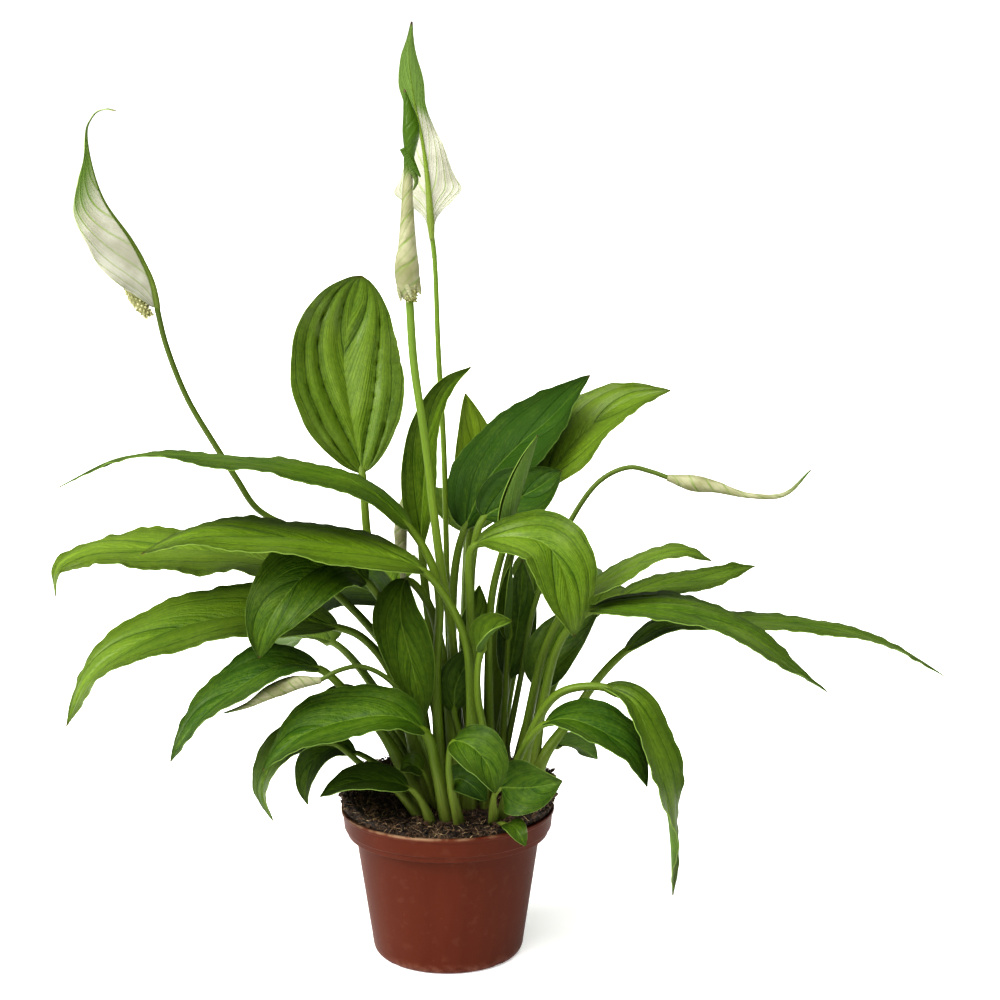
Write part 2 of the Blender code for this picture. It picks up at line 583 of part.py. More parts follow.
def make_stalk(name, route, base, top, surface):
    route = grounded(route, base / 2)
    _, distances, _ = along(route)
    sections = []
    for part in np.linspace(0.0, 1.0, 2 * len(route) - 2):
        radius = (base + (top - base) * part) / 2
        sections.append(Section(part * distances[-1], radius, radius, 0.0, 0.0, (0.1, -1.0, 0.02)))
    loft(name, route, sections, surface, count=6)


def make_spathe(name, spathe, surface):
    _, distances, _ = along(spathe.route)
    sections = []
    for part, half_width in spathe.widths:
        face = np.array(spathe.face_base) * (1 - part) + np.array(spathe.face_tip) * part
        thickness = min(BLADE_THICKNESS / 2, half_width)
        sections.append(
            Section(part * distances[-1], half_width, thickness, spathe.fold, spathe.cup, tuple(face)))
    loft(name, spathe.route, sections, surface, count=12)


def make_spindle(name, spindle, surface):
    _, distances, _ = along(spindle.route)
    parts, radii = np.array(spindle.radii).T
    sections = []
    for part in np.union1d(np.linspace(0.0, 1.0, 7), parts):
        radius = float(np.interp(part, parts, radii))
        sections.append(Section(part * distances[-1], radius, radius, 0.0, 0.0, (0.1, -1.0, 0.05)))
    loft(name, spindle.route, sections, surface, count=8)


def main():
    clear_scene()
    plastic = material("terracotta_plastic", (0.14, 0.045, 0.022), 0.42)
    peat = material("peat", (0.022, 0.014, 0.009), 0.95)
    leaf_green = material("leaf", (0.075, 0.17, 0.025), 0.38)
    stalk_green = material("stalk", (0.13, 0.25, 0.05), 0.45)
    cream = material("spathe", (0.72, 0.74, 0.56), 0.5)
    bud_green = material("bud", (0.50, 0.58, 0.30), 0.5)
    butter = material("spadix", (0.76, 0.68, 0.36), 0.6)
    make_pot(plastic)
    make_soil(peat)
    for name, leaf in LEAVES.items():
        make_leaf(name, leaf, leaf_green)
    for name, (route, base, top) in STALKS.items():
        make_stalk(name, route, base, top, stalk_green)
    for name, spathe in SPATHES.items():
        make_spathe(name, spathe, cream)
    for name, bud in BUDS.items():
        make_spindle(name, bud, bud_green)
    for name, spadix in SPADICES.items():
        make_spindle(name, spadix, butter)


main()
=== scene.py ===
"""How the potted peace lily looks: pot, peat, leaves, flower stalks, spathes, buds and spadices.

Routes, widths and sizes are in millimetres, and the meshes are in metres. The pot's axis is the Z axis
and the plant's front is -Y.
"""

import json
import math
from typing import NamedTuple

import bpy
import numpy as np
from mathutils import Matrix, Vector, noise

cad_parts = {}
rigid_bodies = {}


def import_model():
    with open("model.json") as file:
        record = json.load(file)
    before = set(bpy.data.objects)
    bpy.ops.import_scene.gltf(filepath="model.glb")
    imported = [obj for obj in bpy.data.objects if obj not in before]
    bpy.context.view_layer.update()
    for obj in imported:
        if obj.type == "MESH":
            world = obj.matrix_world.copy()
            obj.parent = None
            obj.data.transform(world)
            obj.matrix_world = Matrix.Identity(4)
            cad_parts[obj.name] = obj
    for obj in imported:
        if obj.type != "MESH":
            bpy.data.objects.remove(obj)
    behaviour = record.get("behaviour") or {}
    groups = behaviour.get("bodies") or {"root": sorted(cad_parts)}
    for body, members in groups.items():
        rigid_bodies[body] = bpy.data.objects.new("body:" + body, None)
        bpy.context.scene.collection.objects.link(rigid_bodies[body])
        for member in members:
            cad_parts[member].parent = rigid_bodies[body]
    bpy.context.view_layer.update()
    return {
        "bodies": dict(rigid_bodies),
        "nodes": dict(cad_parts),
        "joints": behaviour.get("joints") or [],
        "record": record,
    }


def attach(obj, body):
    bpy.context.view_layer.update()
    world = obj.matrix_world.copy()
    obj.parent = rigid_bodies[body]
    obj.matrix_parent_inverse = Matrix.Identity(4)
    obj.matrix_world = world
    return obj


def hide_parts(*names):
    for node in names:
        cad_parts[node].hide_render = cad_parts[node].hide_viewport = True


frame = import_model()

MM = 0.001

# The pot.
RIM_RADIUS = 60.0
POT_HEIGHT = 84.0
COLLAR_DEPTH = 11.2
COLLAR_RADIUS = 58.4
STEP_DEPTH = 3.2
STEP_RADIUS = 56.8
BODY_TOP_RADIUS = 51.9
BODY_BASE_RADIUS = 42.6
BASE_CORNER = 6.0
WALL = 1.4
FLOOR = 3.0
FOOT_RECESS = 1.4
HUB_RADIUS = 12.0
FOOT_INNER_RADIUS = 26.0
DRAIN_HOLES = 6
DRAIN_RADIUS = 3.2
CHANNELS = 4
CHANNEL_WIDTH = 6.0
POT_SIDES = 144

# The peat.
SOIL_CENTRE = 88.0
SOIL_SIDE_RISE = 8.0
SOIL_BACK_RISE = 6.0
SOIL_REACH = 55.0
SHOULDER_START = 49.0
SOIL_EDGE = 83.5
CRUMBS = 3000
FIBRES = 3000
PEAT_SIDE_RISE = 11.0
PEAT_EDGE = 57.9
PEAT_RIM = SOIL_EDGE - 1.5
PEAT_TOP_SHARE = 0.86
CRUMB_REACH = 57.5

# Leaves and stalks.
ROOT_GAP = 0.5
ROOT_DEPTH = 6.0
SOIL_SLOPE = 0.25
BLADE_THICKNESS = 0.55
STALK_FULLNESS = 1.36
ROUTE_SAMPLES = 400
BLADE_COLUMNS = 36
ROW_SPACING = 1.9
GOLDEN_ANGLE = 2.39996

# The camera.
CAMERA_PLACE = (0.0294, -1.0, 0.409)
CAMERA_DIP = 8.6
CAMERA_LENS = 66.17

# The room: each window is (name, degrees round from the front, elevation, spread, strength).
DIM_WALL = 0.07
PALE_WALL = 0.48
PALE_SIDE = (-0.45, 0.0, 0.55)
FLOOR_GLOW = 0.3
WINDOWS = (
    ("window_left", -62.0, 36.0, 40.0, 3.6),
    ("window_front", 2.0, 42.0, 50.0, 0.75),
    ("skylight", -6.0, 70.0, 44.0, 2.4),
    ("window_right", 48.0, 24.0, 40.0, 0.05),
)


class Leaf(NamedTuple):
    """A leaf on its stalk.

    route starts at (x, y) on the peat; blade_at is the station where the blade starts. face_base and
    face_tip are the ways that the blade's upper side looks. fold is the angle of each half along the
    midrib and cup the further turn towards the margins, in degrees. stalk is the stalk's width at the
    peat, and widest is where the blade is widest, as a share of its length.
    """

    route: list
    blade_at: int
    width: float
    face_base: tuple
    face_tip: tuple
    fold: float = 8.0
    cup: float = 6.0
    stalk: float = 4.4
    widest: float = 0.4


LEAVES = {
    # Left side, top to bottom.
    "leaf_broad_upright": Leaf(
        [(-2, 14), (-31, 29, 160), (-47, 51, 225), (-51, 62, 264), (-58, 72, 300), (-62, 82, 335),
          (-52, 88, 378)],
        3, 68, (0.2, -1, 0.3), (0.3, -1, 0.4), 6, 10, widest=0.5),
    "leaf_long_left": Leaf(
        [(-3, -6), (-6, -13, 158), (-5, -14, 215), (-19, -10, 243), (-45, -12, 267), (-79, -16, 277),
          (-131, -24, 285), (-172, -32, 285), (-205, -36, 270)],
        3, 60, (-0.2, -0.15, 1), (-0.3, 0.05, 1), 0, -4),
    "leaf_front_left": Leaf(
        [(12, -16), (14, -20, 147), (9, -24, 190), (-11, -28, 223), (-32, -31, 233), (-61, -34, 240),
          (-95, -40, 245), (-129, -44, 247), (-160, -46, 236)],
        3, 60, (0, -0.2, 1), (-0.3, -0.2, 1), 2, -6),
    "leaf_wavy_left": Leaf(
        [(-8, 6), (-28, 13, 160), (-72, 16, 209), (-110, 25, 221), (-141, 28, 225), (-175, 28, 226),
          (-204, 26, 225), (-220, 24, 216), (-223, 22, 199)],
        2, 54, (0, -0.15, 1), (-0.8, -0.3, 0.5), 2, -6),
    "leaf_drooping_left": Leaf(
        [(-9, -3), (-20, -10, 170), (-43, -15, 215), (-58, -26, 227), (-73, -38, 224), (-86, -46, 211),
          (-94, -50, 197), (-98, -53, 181)],
        2, 46, (0, -0.6, 1), (-0.2, -1, 0.2)),
    "leaf_big_low_left": Leaf(
        [(-11, -10), (-30, -12, 162), (-47, -10, 183), (-60, -8, 188), (-108, -8, 195),
          (-158, -10, 185), (-193, -14, 166), (-210, -16, 134)],
        3, 56, (0, -0.35, 1), (-0.6, -0.4, 0.7), 4, 4),
    "leaf_shaded_left": Leaf(
        [(-9, 13), (-24, 20, 155), (-35, 27, 194), (-56, 36, 202), (-78, 44, 190), (-95, 52, 171)],
        2, 40, (-0.1, -0.5, 0.9), (-0.6, -0.4, 0.7)),
    "leaf_low_left": Leaf(
        [(-14, -18), (-34, -24, 131), (-52, -30, 155), (-68, -34, 171), (-88, -42, 175),
          (-109, -50, 165), (-129, -56, 150), (-145, -60, 127)],
        3, 45, (-0.2, -0.3, 0.9), (-0.7, -0.3, 0.6)),
    "leaf_bright_front": Leaf(
        [(1, -28), (-5, -36, 116), (-11, -44, 139), (-26, -50, 149), (-50, -57, 149), (-76, -65, 142),
          (-95, -69, 125)],
        2, 46, (0.1, -0.4, 0.9), (-0.6, -0.4, 0.7), 10, 8, 5.6),
    "leaf_soil_left": Leaf(
        [(-9, -33), (-14, -37, 99), (-20, -41, 107), (-33, -45, 112), (-51, -49, 112), (-67, -51, 105)],
        2, 26, (0, -0.4, 0.9), (-0.4, -0.3, 0.9), 8, 6, 3.2),
    "leaf_small_hooked": Leaf(
        [(-17, -26), (-28, -30, 103), (-45, -34, 117), (-61, -38, 131), (-78, -42, 133),
          (-92, -46, 123), (-98, -47, 107), (-93, -47, 90)],
        3, 30, (-0.1, -0.3, 1), (-0.9, -0.4, 0.1), 10, 8, 3.2),
    "leaf_small_hanging": Leaf(
        [(-21, -13), (-31, -18, 107), (-50, -22, 121), (-64, -25, 124), (-73, -28, 117),
          (-77, -30, 104), (-76, -31, 94)],
        2, 22, (0, -0.4, 0.9), (-0.8, -0.6, 0.1), 10, 8, 3),
    "leaf_small_tipped": Leaf(
        [(-16, -3), (-26, -8, 121), (-44, -12, 144), (-56, -14, 151), (-65, -16, 150), (-74, -17, 147)],
        2, 18, (0, -0.3, 1), (-0.2, -0.3, 1), 10, 8, 3),
    "leaf_tiny_left": Leaf(
        [(-6, -16), (-9, -23, 102), (-13, -28, 112), (-19, -30, 116), (-25, -30, 113)],
        2, 16, (0, -0.5, 0.8), (-0.2, -0.5, 0.8), 10, 8, 2.6),
    # Centre.
    "leaf_hanging_centre": Leaf(
        [(5, -6), (0, 0, 150), (-10, -4, 200), (-22, -10, 215), (-25, -18, 199), (-19, -22, 172),
          (-12, -23, 140)],
        3, 33, (-0.4, -0.5, 0.8), (0.2, -1, 0.1), 24, 10),
    "leaf_half_rolled": Leaf(
        [(0, 8), (-9, 20, 169), (-15, 26, 228), (-14, 30, 259), (-10, 32, 293), (-1, 30, 315),
          (13, 24, 329)],
        2, 27, (-0.3, -1, 0), (-0.4, -0.8, 0.4), 24, 30),
    "leaf_rear_upright": Leaf(
        [(12, 28), (9, 60, 165), (12, 78, 234), (15, 84, 275), (9, 82, 309)],
        2, 26, (0, -1, 0.2), (0, -1, 0.3)),
    "leaf_young_inner": Leaf(
        [(13, -4), (12, -2, 134), (13, 0, 168), (15, 0, 190), (18, 0, 210)],
        2, 20, (0.2, -0.9, 0.1), (0.2, -0.9, 0.1), 20, 20, 3.2),
    "leaf_young_folded": Leaf(
        [(21, -18), (21, -26, 129), (17, -30, 158), (19, -32, 180), (26, -36, 192), (36, -38, 198)],
        3, 24, (-0.7, -0.5, 0.5), (-0.5, -0.4, 0.8), 34, 16, 3.6),
    "leaf_young_spear": Leaf(
        [(29, 4), (32, 10, 142), (34, 14, 176), (36, 16, 198), (36, 16, 220)],
        2, 16, (-0.8, -0.5, 0.2), (-0.8, -0.5, 0.2), 30, 60, 3.2),
    "leaf_tall_spear": Leaf(
        [(24, -3), (23, -5, 167), (25, -6, 206), (32, -4, 234), (39, -2, 256), (45, -2, 276),
          (50, -4, 294)],
        3, 20, (-0.8, -0.5, 0.3), (-0.8, -0.5, 0.3), 44, 76, 4),
    "leaf_small_front": Leaf(
        [(7, -36), (2, -50, 120), (5, -60, 138), (14, -68, 138), (23, -72, 129), (27, -74, 114)],
        2, 28, (0, -0.6, 0.8), (0.5, -0.8, 0.3), 10, 8, 3),
    "leaf_rim_front": Leaf(
        [(26, -38), (26, -46, 103), (30, -52, 110), (38, -58, 112), (48, -63, 114), (62, -69, 119)],
        2, 30, (0.1, -1, 0.3), (0.1, -1, 0.3), 4, 4, 2.8, 0.3),
    "leaf_over_rim": Leaf(
        [(30, -43), (33, -55, 91), (37, -63, 92), (40, -68, 89), (43, -70, 84)],
        1, 12, (0, -0.5, 0.9), (0.2, -0.9, 0.3), 10, 8, 2),
    "leaf_crown_centre": Leaf(
        [(11, -9), (7, -7, 127), (4, -6.5, 140), (5, -6.5, 155), (12, -7, 168), (21, -8, 177)],
        2, 22, (0, -1, 0.15), (0, -1, 0.15), 2, 2, 3.4),
    "leaf_crown_right": Leaf(
        [(35, 5), (46, 6, 125), (51, 5, 150), (58, 6, 170), (71, 7, 185), (86, 9, 197)],
        2, 30, (-0.2, -0.9, 0.4), (-0.2, -0.7, 0.7), 6, 6, 3.6),
    "leaf_crown_back": Leaf(
        [(22, 14), (29, 14, 120), (34, 18, 152), (38, 20, 174), (41, 22, 197), (42, 22, 220)],
        2, 22, (0, -1, 0.1), (0, -1, 0.1), 6, 6, 3.6),
    "leaf_soil_centre": Leaf(
        [(5, -28), (3, -34, 98), (2, -38, 108), (8, -42, 112), (15, -46, 109), (22, -50, 102)],
        2, 18, (0.1, -0.8, 0.5), (0.3, -0.8, 0.4), 10, 8, 2.6),
    # Right side, top to bottom.
    "leaf_dark_upper_right": Leaf(
        [(8, 13), (2, 28, 167), (4, 40, 215), (9, 46, 234), (21, 54, 260), (40, 60, 281),
          (58, 62, 296), (81, 56, 322)],
        3, 54, (-0.5, -0.7, 0.5), (-0.5, -0.6, 0.7)),
    "leaf_upper_right": Leaf(
        [(32, 18), (28, 36, 171), (38, 46, 227), (53, 52, 257), (67, 58, 277), (83, 64, 293),
         (104, 68, 306), (129, 70, 312)],
        3, 48, (-0.4, -0.6, 0.7), (-0.2, -0.4, 0.9)),
    "leaf_dark_inner_right": Leaf(
        [(17, 6), (13, 10, 171), (14, 16, 222), (20, 21, 244), (34, 26, 252), (50, 29, 260),
          (64, 31, 270)],
        3, 40, (-0.2, -0.8, 0.5), (-0.3, -0.7, 0.6)),
    "leaf_drooping_right": Leaf(
        [(18, -10), (16, -12, 147), (13, -14, 208), (15, -17, 235), (35, -26, 242), (54, -34, 239),
          (63, -40, 226), (67, -44, 207), (69, -45, 191)],
        3, 40, (0, -0.5, 0.9), (0.5, -0.9, 0.2), widest=0.5),
    "leaf_flat_right": Leaf(
        [(39, 1), (47, -6, 146), (56, -8, 181), (69, -10, 203), (87, -13, 215), (108, -16, 227),
          (130, -20, 232), (144, -22, 228)],
        3, 46, (0, -0.1, 1), (0.2, -0.1, 1), 2, -4),
    "leaf_rear_right": Leaf(
        [(38, 10), (52, 18, 146), (72, 24, 184), (98, 28, 198), (121, 30, 204), (147, 32, 208),
          (175, 32, 215)],
        3, 42, (0, -0.1, 1), (0, -0.1, 1), 2, -4),
    "leaf_arching_right": Leaf(
        [(46, -12), (53, -18, 149), (63, -22, 185), (78, -26, 201), (102, -34, 205), (131, -42, 203),
          (163, -48, 191), (183, -50, 176), (203, -52, 163)],
        3, 50, (0, -0.15, 1), (0.5, -0.1, 0.9), 4, 0),
    "leaf_long_right": Leaf(
        [(46, -20), (54, -18, 118), (67, -12, 135), (84, -4, 158), (99, 2, 172), (122, 8, 186),
          (173, 14, 187), (224, 16, 181), (259, 16, 168), (281, 14, 155)],
        4, 46, (0, 0, 1), (0.3, 0, 1), 2, -6),
    "leaf_twisted_right": Leaf(
        [(38, -28), (46, -34, 134), (61, -44, 160), (84, -54, 166), (98, -60, 161), (107, -66, 144),
          (115, -70, 118), (119, -72, 90), (121, -70, 57)],
        3, 30, (0, -0.3, 1), (1, -0.25, 0.1), 14, 8),
    "leaf_low_right": Leaf(
        [(31, -34), (40, -42, 125), (53, -54, 146), (65, -62, 151), (82, -70, 147), (97, -76, 137),
          (106, -78, 119)],
        2, 34, (0.1, -0.4, 0.9), (0.8, -0.5, 0.3), 10, 8, 3.6),
    "leaf_upturned_right": Leaf(
        [(46, -5), (52, -3, 110), (60, -3, 119), (72, -6, 120), (84, -8, 113)],
        2, 24, (-0.2, 0.6, 0.7), (-0.1, 0.6, 0.7), 10, 8, 3),
    # Rear, from left round to right.
    "leaf_back_left_low": Leaf(
        [(-14, 18), (-40, 50, 132), (-72, 86, 158), (-104, 118, 150), (-122, 136, 122)],
        2, 48, (0, 0, 1), (-0.5, 0.5, 0.7)),
    "leaf_back_left": Leaf(
        [(3, 28), (-14, 66, 150), (-34, 104, 190), (-56, 144, 194), (-72, 172, 168)],
        2, 54, (0, -0.1, 1), (-0.2, 0.6, 0.8)),
    "leaf_back_centre": Leaf(
        [(6, 34), (8, 66, 160), (10, 100, 222), (14, 142, 240), (16, 186, 214)],
        2, 56, (0, -0.2, 1), (0, 0.6, 0.8)),
    "leaf_back_right": Leaf(
        [(26, 30), (36, 66, 140), (50, 100, 184), (68, 132, 192), (84, 164, 164)],
        2, 54, (0, -0.1, 1), (0.3, 0.5, 0.8)),
    "leaf_back_right_low": Leaf(
        [(40, 24), (60, 50, 140), (84, 78, 176), (110, 100, 184), (136, 116, 168)],
        2, 50, (0, 0, 1), (0.5, 0.4, 0.8)),
}


class Spathe(NamedTuple):
    """An open spathe: a cupped blade with (distance along from 0 to 1, half width) pairs.

    Its inner side looks the way face_base and face_tip say.
    """

    route: list
    widths: list
    face_base: tuple
    face_tip: tuple
    fold: float
    cup: float


class Spindle(NamedTuple):
    """A round piece: a rolled bud or a spadix, with (distance along the route from 0 to 1, radius) pairs."""

    route: list
    radii: list


STALKS = {
    "stalk_left_flower": (
        [(-12, 22), (-24, 42, 150), (-46, 62, 200), (-74, 66, 226), (-100, 64, 235), (-113, 61, 244),
          (-124, 58, 262), (-136, 57, 282), (-151, 56, 309), (-162, 54, 340), (-166, 52, 360)], 4.4, 3.2),
    "stalk_rear_flower": (
        [(2, 21), (-1, 42, 193), (-3, 52, 279), (-6, 57, 336), (-8, 61, 388), (-10, 62, 405)], 4.0, 2.8),
    "stalk_centre_bud": (
        [(7, 2), (3, 4, 178), (-4, 6, 223), (-12, 8, 290), (-18, 8, 334), (-20, 8, 367)], 5.2, 4.4),
    "stalk_right_bud": (
        [(29, 11), (41, 12, 154), (49, 14, 196), (66, 16, 238), (85, 16, 266), (101, 14, 274),
          (113, 12, 272), (122, 10, 269)], 3.6, 2.8),
    "stalk_low_bud": (
        [(1, -20), (-12, -22, 124), (-28, -33, 162), (-44, -42, 174), (-56, -50, 174), (-65, -54, 170)],
        3.4, 2.6),
    "stalk_inner_bud": (
        [(-2, 22), (-11, 26, 144), (-21, 32, 183), (-26, 34, 207)], 3.2, 3.0),
}

SPATHES = {
    "spathe_left": Spathe(
        [(-167, 52, 361), (-169, 51, 374), (-173, 50, 385), (-180, 49, 399), (-194, 48, 421),
          (-200, 46, 443), (-201, 45, 460), (-198.6, 44, 465.3),
         (-194.4, 43, 469.7), (-188.8, 42, 470.8), (-184, 41, 470)],
        [(0.0, 1.6), (0.07, 11), (0.2, 22), (0.36, 25), (0.5, 21), (0.61, 11.5), (0.7, 4.2), (0.8, 1.2),
         (1.0, 0.5)],
        (-1.0, -0.1, 0.2), (-0.9, -0.2, 0.3), 52, 14),
    "spathe_rear": Spathe(
        [(-10, 63, 406), (-12, 67, 433), (-15, 70, 455), (-19.5, 68, 478), (-22, 64, 500), (-20, 58, 520)],
        [(0.0, 1.6), (0.05, 4), (0.12, 12), (0.18, 19.5), (0.24, 17), (0.36, 12), (0.5, 8), (0.6, 6.2),
         (0.7, 7.4), (0.82, 5), (0.91, 2.2), (1.0, 0.4)],
        (0.0, 1.0, 0.1), (-0.1, 1.0, -0.1), 6, 16),
}

BUDS = {
    "bud_centre": Spindle(
        [(-20, 8, 368), (-21, 8, 384), (-21, 8, 410), (-20, 10, 439), (-19, 12, 461), (-22, 12, 480)],
        [(0.0, 3.6), (0.03, 5.2), (0.12, 6.8), (0.23, 5.3), (0.37, 3.8), (0.51, 2.9), (0.62, 2.5),
         (0.69, 3.0), (0.8, 4.6), (0.9, 2.9), (1.0, 0.4)]),
    "bud_right": Spindle(
        [(123, 10, 268.5), (135, 8, 266), (149, 6, 264), (167, 2, 260), (186, 0, 261), (200, -2, 275)],
        [(0.0, 2.0), (0.16, 4.6), (0.32, 3.2), (0.5, 1.8), (0.8, 1.3), (1.0, 0.4)]),
    "bud_low": Spindle(
        [(-66, -54, 169.5), (-79, -57, 169), (-92, -59, 164), (-103, -61, 158), (-116, -63, 154)],
        [(0.0, 1.8), (0.25, 3.9), (0.5, 3.8), (0.72, 1.8), (1.0, 0.4)]),
    "bud_inner": Spindle(
        [(-26, 34, 208), (-27, 36, 223), (-27, 37, 241), (-23, 38, 258), (-21, 38, 281)],
        [(0.0, 1.6), (0.2, 3.2), (0.6, 3.0), (0.78, 1.2), (1.0, 0.4)]),
}

SPADICES = {
    "spadix_left": Spindle(
        [(-170, 51.5, 355.5), (-175, 51, 362), (-179.5, 50.5, 370), (-183.5, 50, 380)],
        [(0.0, 2.0), (0.25, 3.6), (0.75, 3.6), (1.0, 1.2)]),
    "spadix_rear": Spindle(
        [(-10, 67, 411), (-12, 74, 424), (-14, 79, 438), (-16, 82, 452)],
        [(0.0, 2.2), (0.2, 4.0), (0.75, 4.0), (1.0, 1.2)]),
}


class Look(NamedTuple):
    """How one leaf differs from the next.

    tone goes from 0, an old dark leaf, to 1, a young bright one; the lowest tones also paint the shade on
    leaves that sit in shadow or are lit from behind, darker than their own green. wave is how far the
    margins ripple and pleat how deep the panels between the side veins stand, in millimetres; panel is
    the length of midrib between one deep vein and the next, as a share of the blade. shine is how glossy
    it is, and taper how drawn out its tip, from 0.5, blunt, upwards. sweep is how far along the blade a
    side vein runs before it meets the margin.
    """

    tone: float = 0.4
    wave: float = 1.2
    pleat: float = 0.7
    panel: float = 0.5
    shine: float = 0.4
    taper: float = 0.9
    sweep: float = 0.75


# The low tones of leaf_shaded_left, leaf_dark_upper_right and leaf_dark_inner_right are painted shade: these
# leaves lie in shadow or are lit from behind.
LEAF_LOOKS = {
    "leaf_broad_upright": Look(0.42, 1.0, 3.6, 0.6, 1.0, 0.66, 1.3),
    "leaf_long_left": Look(0.22, 1.3, 0.7, shine=0.25),
    "leaf_front_left": Look(0.42, 1.2, 0.9, shine=0.3),
    "leaf_wavy_left": Look(0.5, 3.2, 0.9, shine=0.45),
    "leaf_drooping_left": Look(0.22, 1.6, 0.8, shine=0.45),
    "leaf_big_low_left": Look(0.4, 1.4, 1.2, shine=0.5),
    "leaf_shaded_left": Look(0.1, 1.0, 0.6, shine=0.5),
    "leaf_low_left": Look(0.08, 1.6, 1.2, shine=0.5),
    "leaf_bright_front": Look(0.16, 1.6, 0.7, 0.6, 0.4),
    "leaf_soil_left": Look(0.2, 1.0, 0.4),
    "leaf_small_hooked": Look(0.25, 1.6, 0.5),
    "leaf_small_hanging": Look(0.25, 1.0, 0.4),
    "leaf_small_tipped": Look(0.35, 0.6, 0.4),
    "leaf_tiny_left": Look(0.3, 0.6, 0.3),
    "leaf_hanging_centre": Look(0.22, 0.5, 0.45, 0.3, 0.12),
    "leaf_half_rolled": Look(0.35, 0.8, 0.4, shine=0.2),
    "leaf_rear_upright": Look(0.75, 0.6, 0.3, shine=0.2),
    "leaf_young_folded": Look(0.4, 0.6, 0.3),
    "leaf_young_inner": Look(0.35, 0.4, 0.3),
    "leaf_young_spear": Look(0.35, 0.2, 0.1),
    "leaf_tall_spear": Look(0.4, 0.2, 0.1, shine=0.2),
    "leaf_crown_centre": Look(0.12, 0.6, 0.4, shine=0.2),
    "leaf_crown_right": Look(0.22, 0.8, 0.6, shine=0.5),
    "leaf_crown_back": Look(0.15, 0.6, 0.5, shine=0.3),
    "leaf_soil_centre": Look(0.02, 0.6, 0.3),
    "leaf_small_front": Look(0.16, 0.8, 0.4, shine=0.35),
    "leaf_rim_front": Look(0.16, 1.8, 0.5, shine=0.35),
    "leaf_dark_upper_right": Look(-0.04, 1.8, 0.8, shine=0.04),
    "leaf_upper_right": Look(0.5, 1.4, 1.0, shine=0.6),
    "leaf_dark_inner_right": Look(0.02, 0.8, 0.7, shine=0.2),
    "leaf_drooping_right": Look(0.4, 1.8, 1.2, shine=0.5),
    "leaf_flat_right": Look(0.4, 1.2, 0.9, shine=0.6),
    "leaf_rear_right": Look(0.35, 1.6, 1.0, shine=0.5),
    "leaf_arching_right": Look(0.26, 1.2, 1.6, 0.4, 0.9),
    "leaf_long_right": Look(0.3, 1.0, 0.8, shine=0.5),
    "leaf_twisted_right": Look(0.3, 3.0, 0.6),
    "leaf_low_right": Look(0.08, 1.6, 0.6, shine=0.15),
    "leaf_over_rim": Look(0.2, 0.5, 0.2),
    "leaf_upturned_right": Look(0.2, 0.8, 0.4),
}

# A bud's own florets, its turned-back flaps, and how green each spathe and bud is along its length.
BUD_FLORETS = Spindle([(-19, 7, 366), (-19, 6.5, 370), (-19.5, 6, 375)], [(0.0, 2.6), (0.5, 3.9), (1.0, 3.6)])
BUD_FOLDS = (
    ([(-21.5, 8, 449), (-19.5, 7.4, 444), (-16.5, 6.6, 438), (-13.5, 6.4, 433)], 3.0, 1.0),
    ([(-20.5, 8, 442), (-18.5, 7.4, 438), (-15.6, 6.8, 431), (-17.5, 7, 426)], 2.2, 0.7),
    ([(-24, 5.5, 380), (-25, 4.6, 373), (-24.4, 4.2, 366)], 2.4, 0.05),
    ([(-17, 5.5, 381), (-15.2, 4.4, 375), (-13.6, 4.2, 370)], 3.0, 0.12),
    ([(-20.5, 2.6, 380), (-20, 1.6, 374), (-18.5, 1.4, 368)], 2.6, 0.05),
)
OLD_STALKS = ("stalk_left_flower", "stalk_right_bud", "stalk_low_bud")
# How green it is as pairs, the frill of its margins and its midrib's radius in mm.
SPATHE_LOOKS = {
    "spathe_left": (
        [(0.0, 0.0), (0.3, 0.0), (0.45, 0.2), (0.6, 0.5), (0.72, 0.85), (1.0, 1.0)], 1.2, 1.7),
    "spathe_rear": (
        [(0.0, 0.3), (0.15, 0.18), (0.35, 0.12), (0.52, 0.2), (0.62, 0.85), (1.0, 1.0)], 1.8, 2.1),
}
# How green it is as pairs, and how many turns it is wound.
BUD_LOOKS = {
    "bud_centre": (
        [(0.0, 0.1), (0.06, 0.0), (0.4, 0.0), (0.56, 0.2), (0.64, 0.85), (0.7, 1.0), (1.0, 1.0)], 2.2),
    "bud_right": ([(0.0, 0.0), (0.3, 0.0), (0.6, 0.15), (0.85, 0.5), (1.0, 0.9)], 1.3),
    "bud_low": ([(0.0, 0.1), (0.3, 0.0), (0.7, 0.25), (1.0, 0.8)], 1.2),
    "bud_inner": ([(0.0, 0.0), (0.5, 0.1), (0.75, 0.7), (1.0, 1.0)], 1.2),
}

# Colours.
# The leaf margin's pale line: partly the margin's own paler green, partly a painted rim highlight along the
# edge.
PALE_MARGIN_AND_RIM_HIGHLIGHT = (0.24, 0.33, 0.09)
DRY_LEAF = (0.075, 0.045, 0.015)
DRY_SPATHE = (0.07, 0.04, 0.02)
# Dark and bright leaf, its rib and its veins; the upper side's vein colour, darker than its dark green, is
# painted shade in the impressed vein grooves, while the underside's is the veins' own paler green.
UPPER_GREENS = ((0.022, 0.058, 0.0006), (0.175, 0.250, 0.016), (0.16, 0.23, 0.04), (0.016, 0.048, 0.0008))
UNDER_GREENS = ((0.045, 0.095, 0.015), (0.160, 0.245, 0.045), (0.24, 0.32, 0.09), (0.13, 0.20, 0.045))
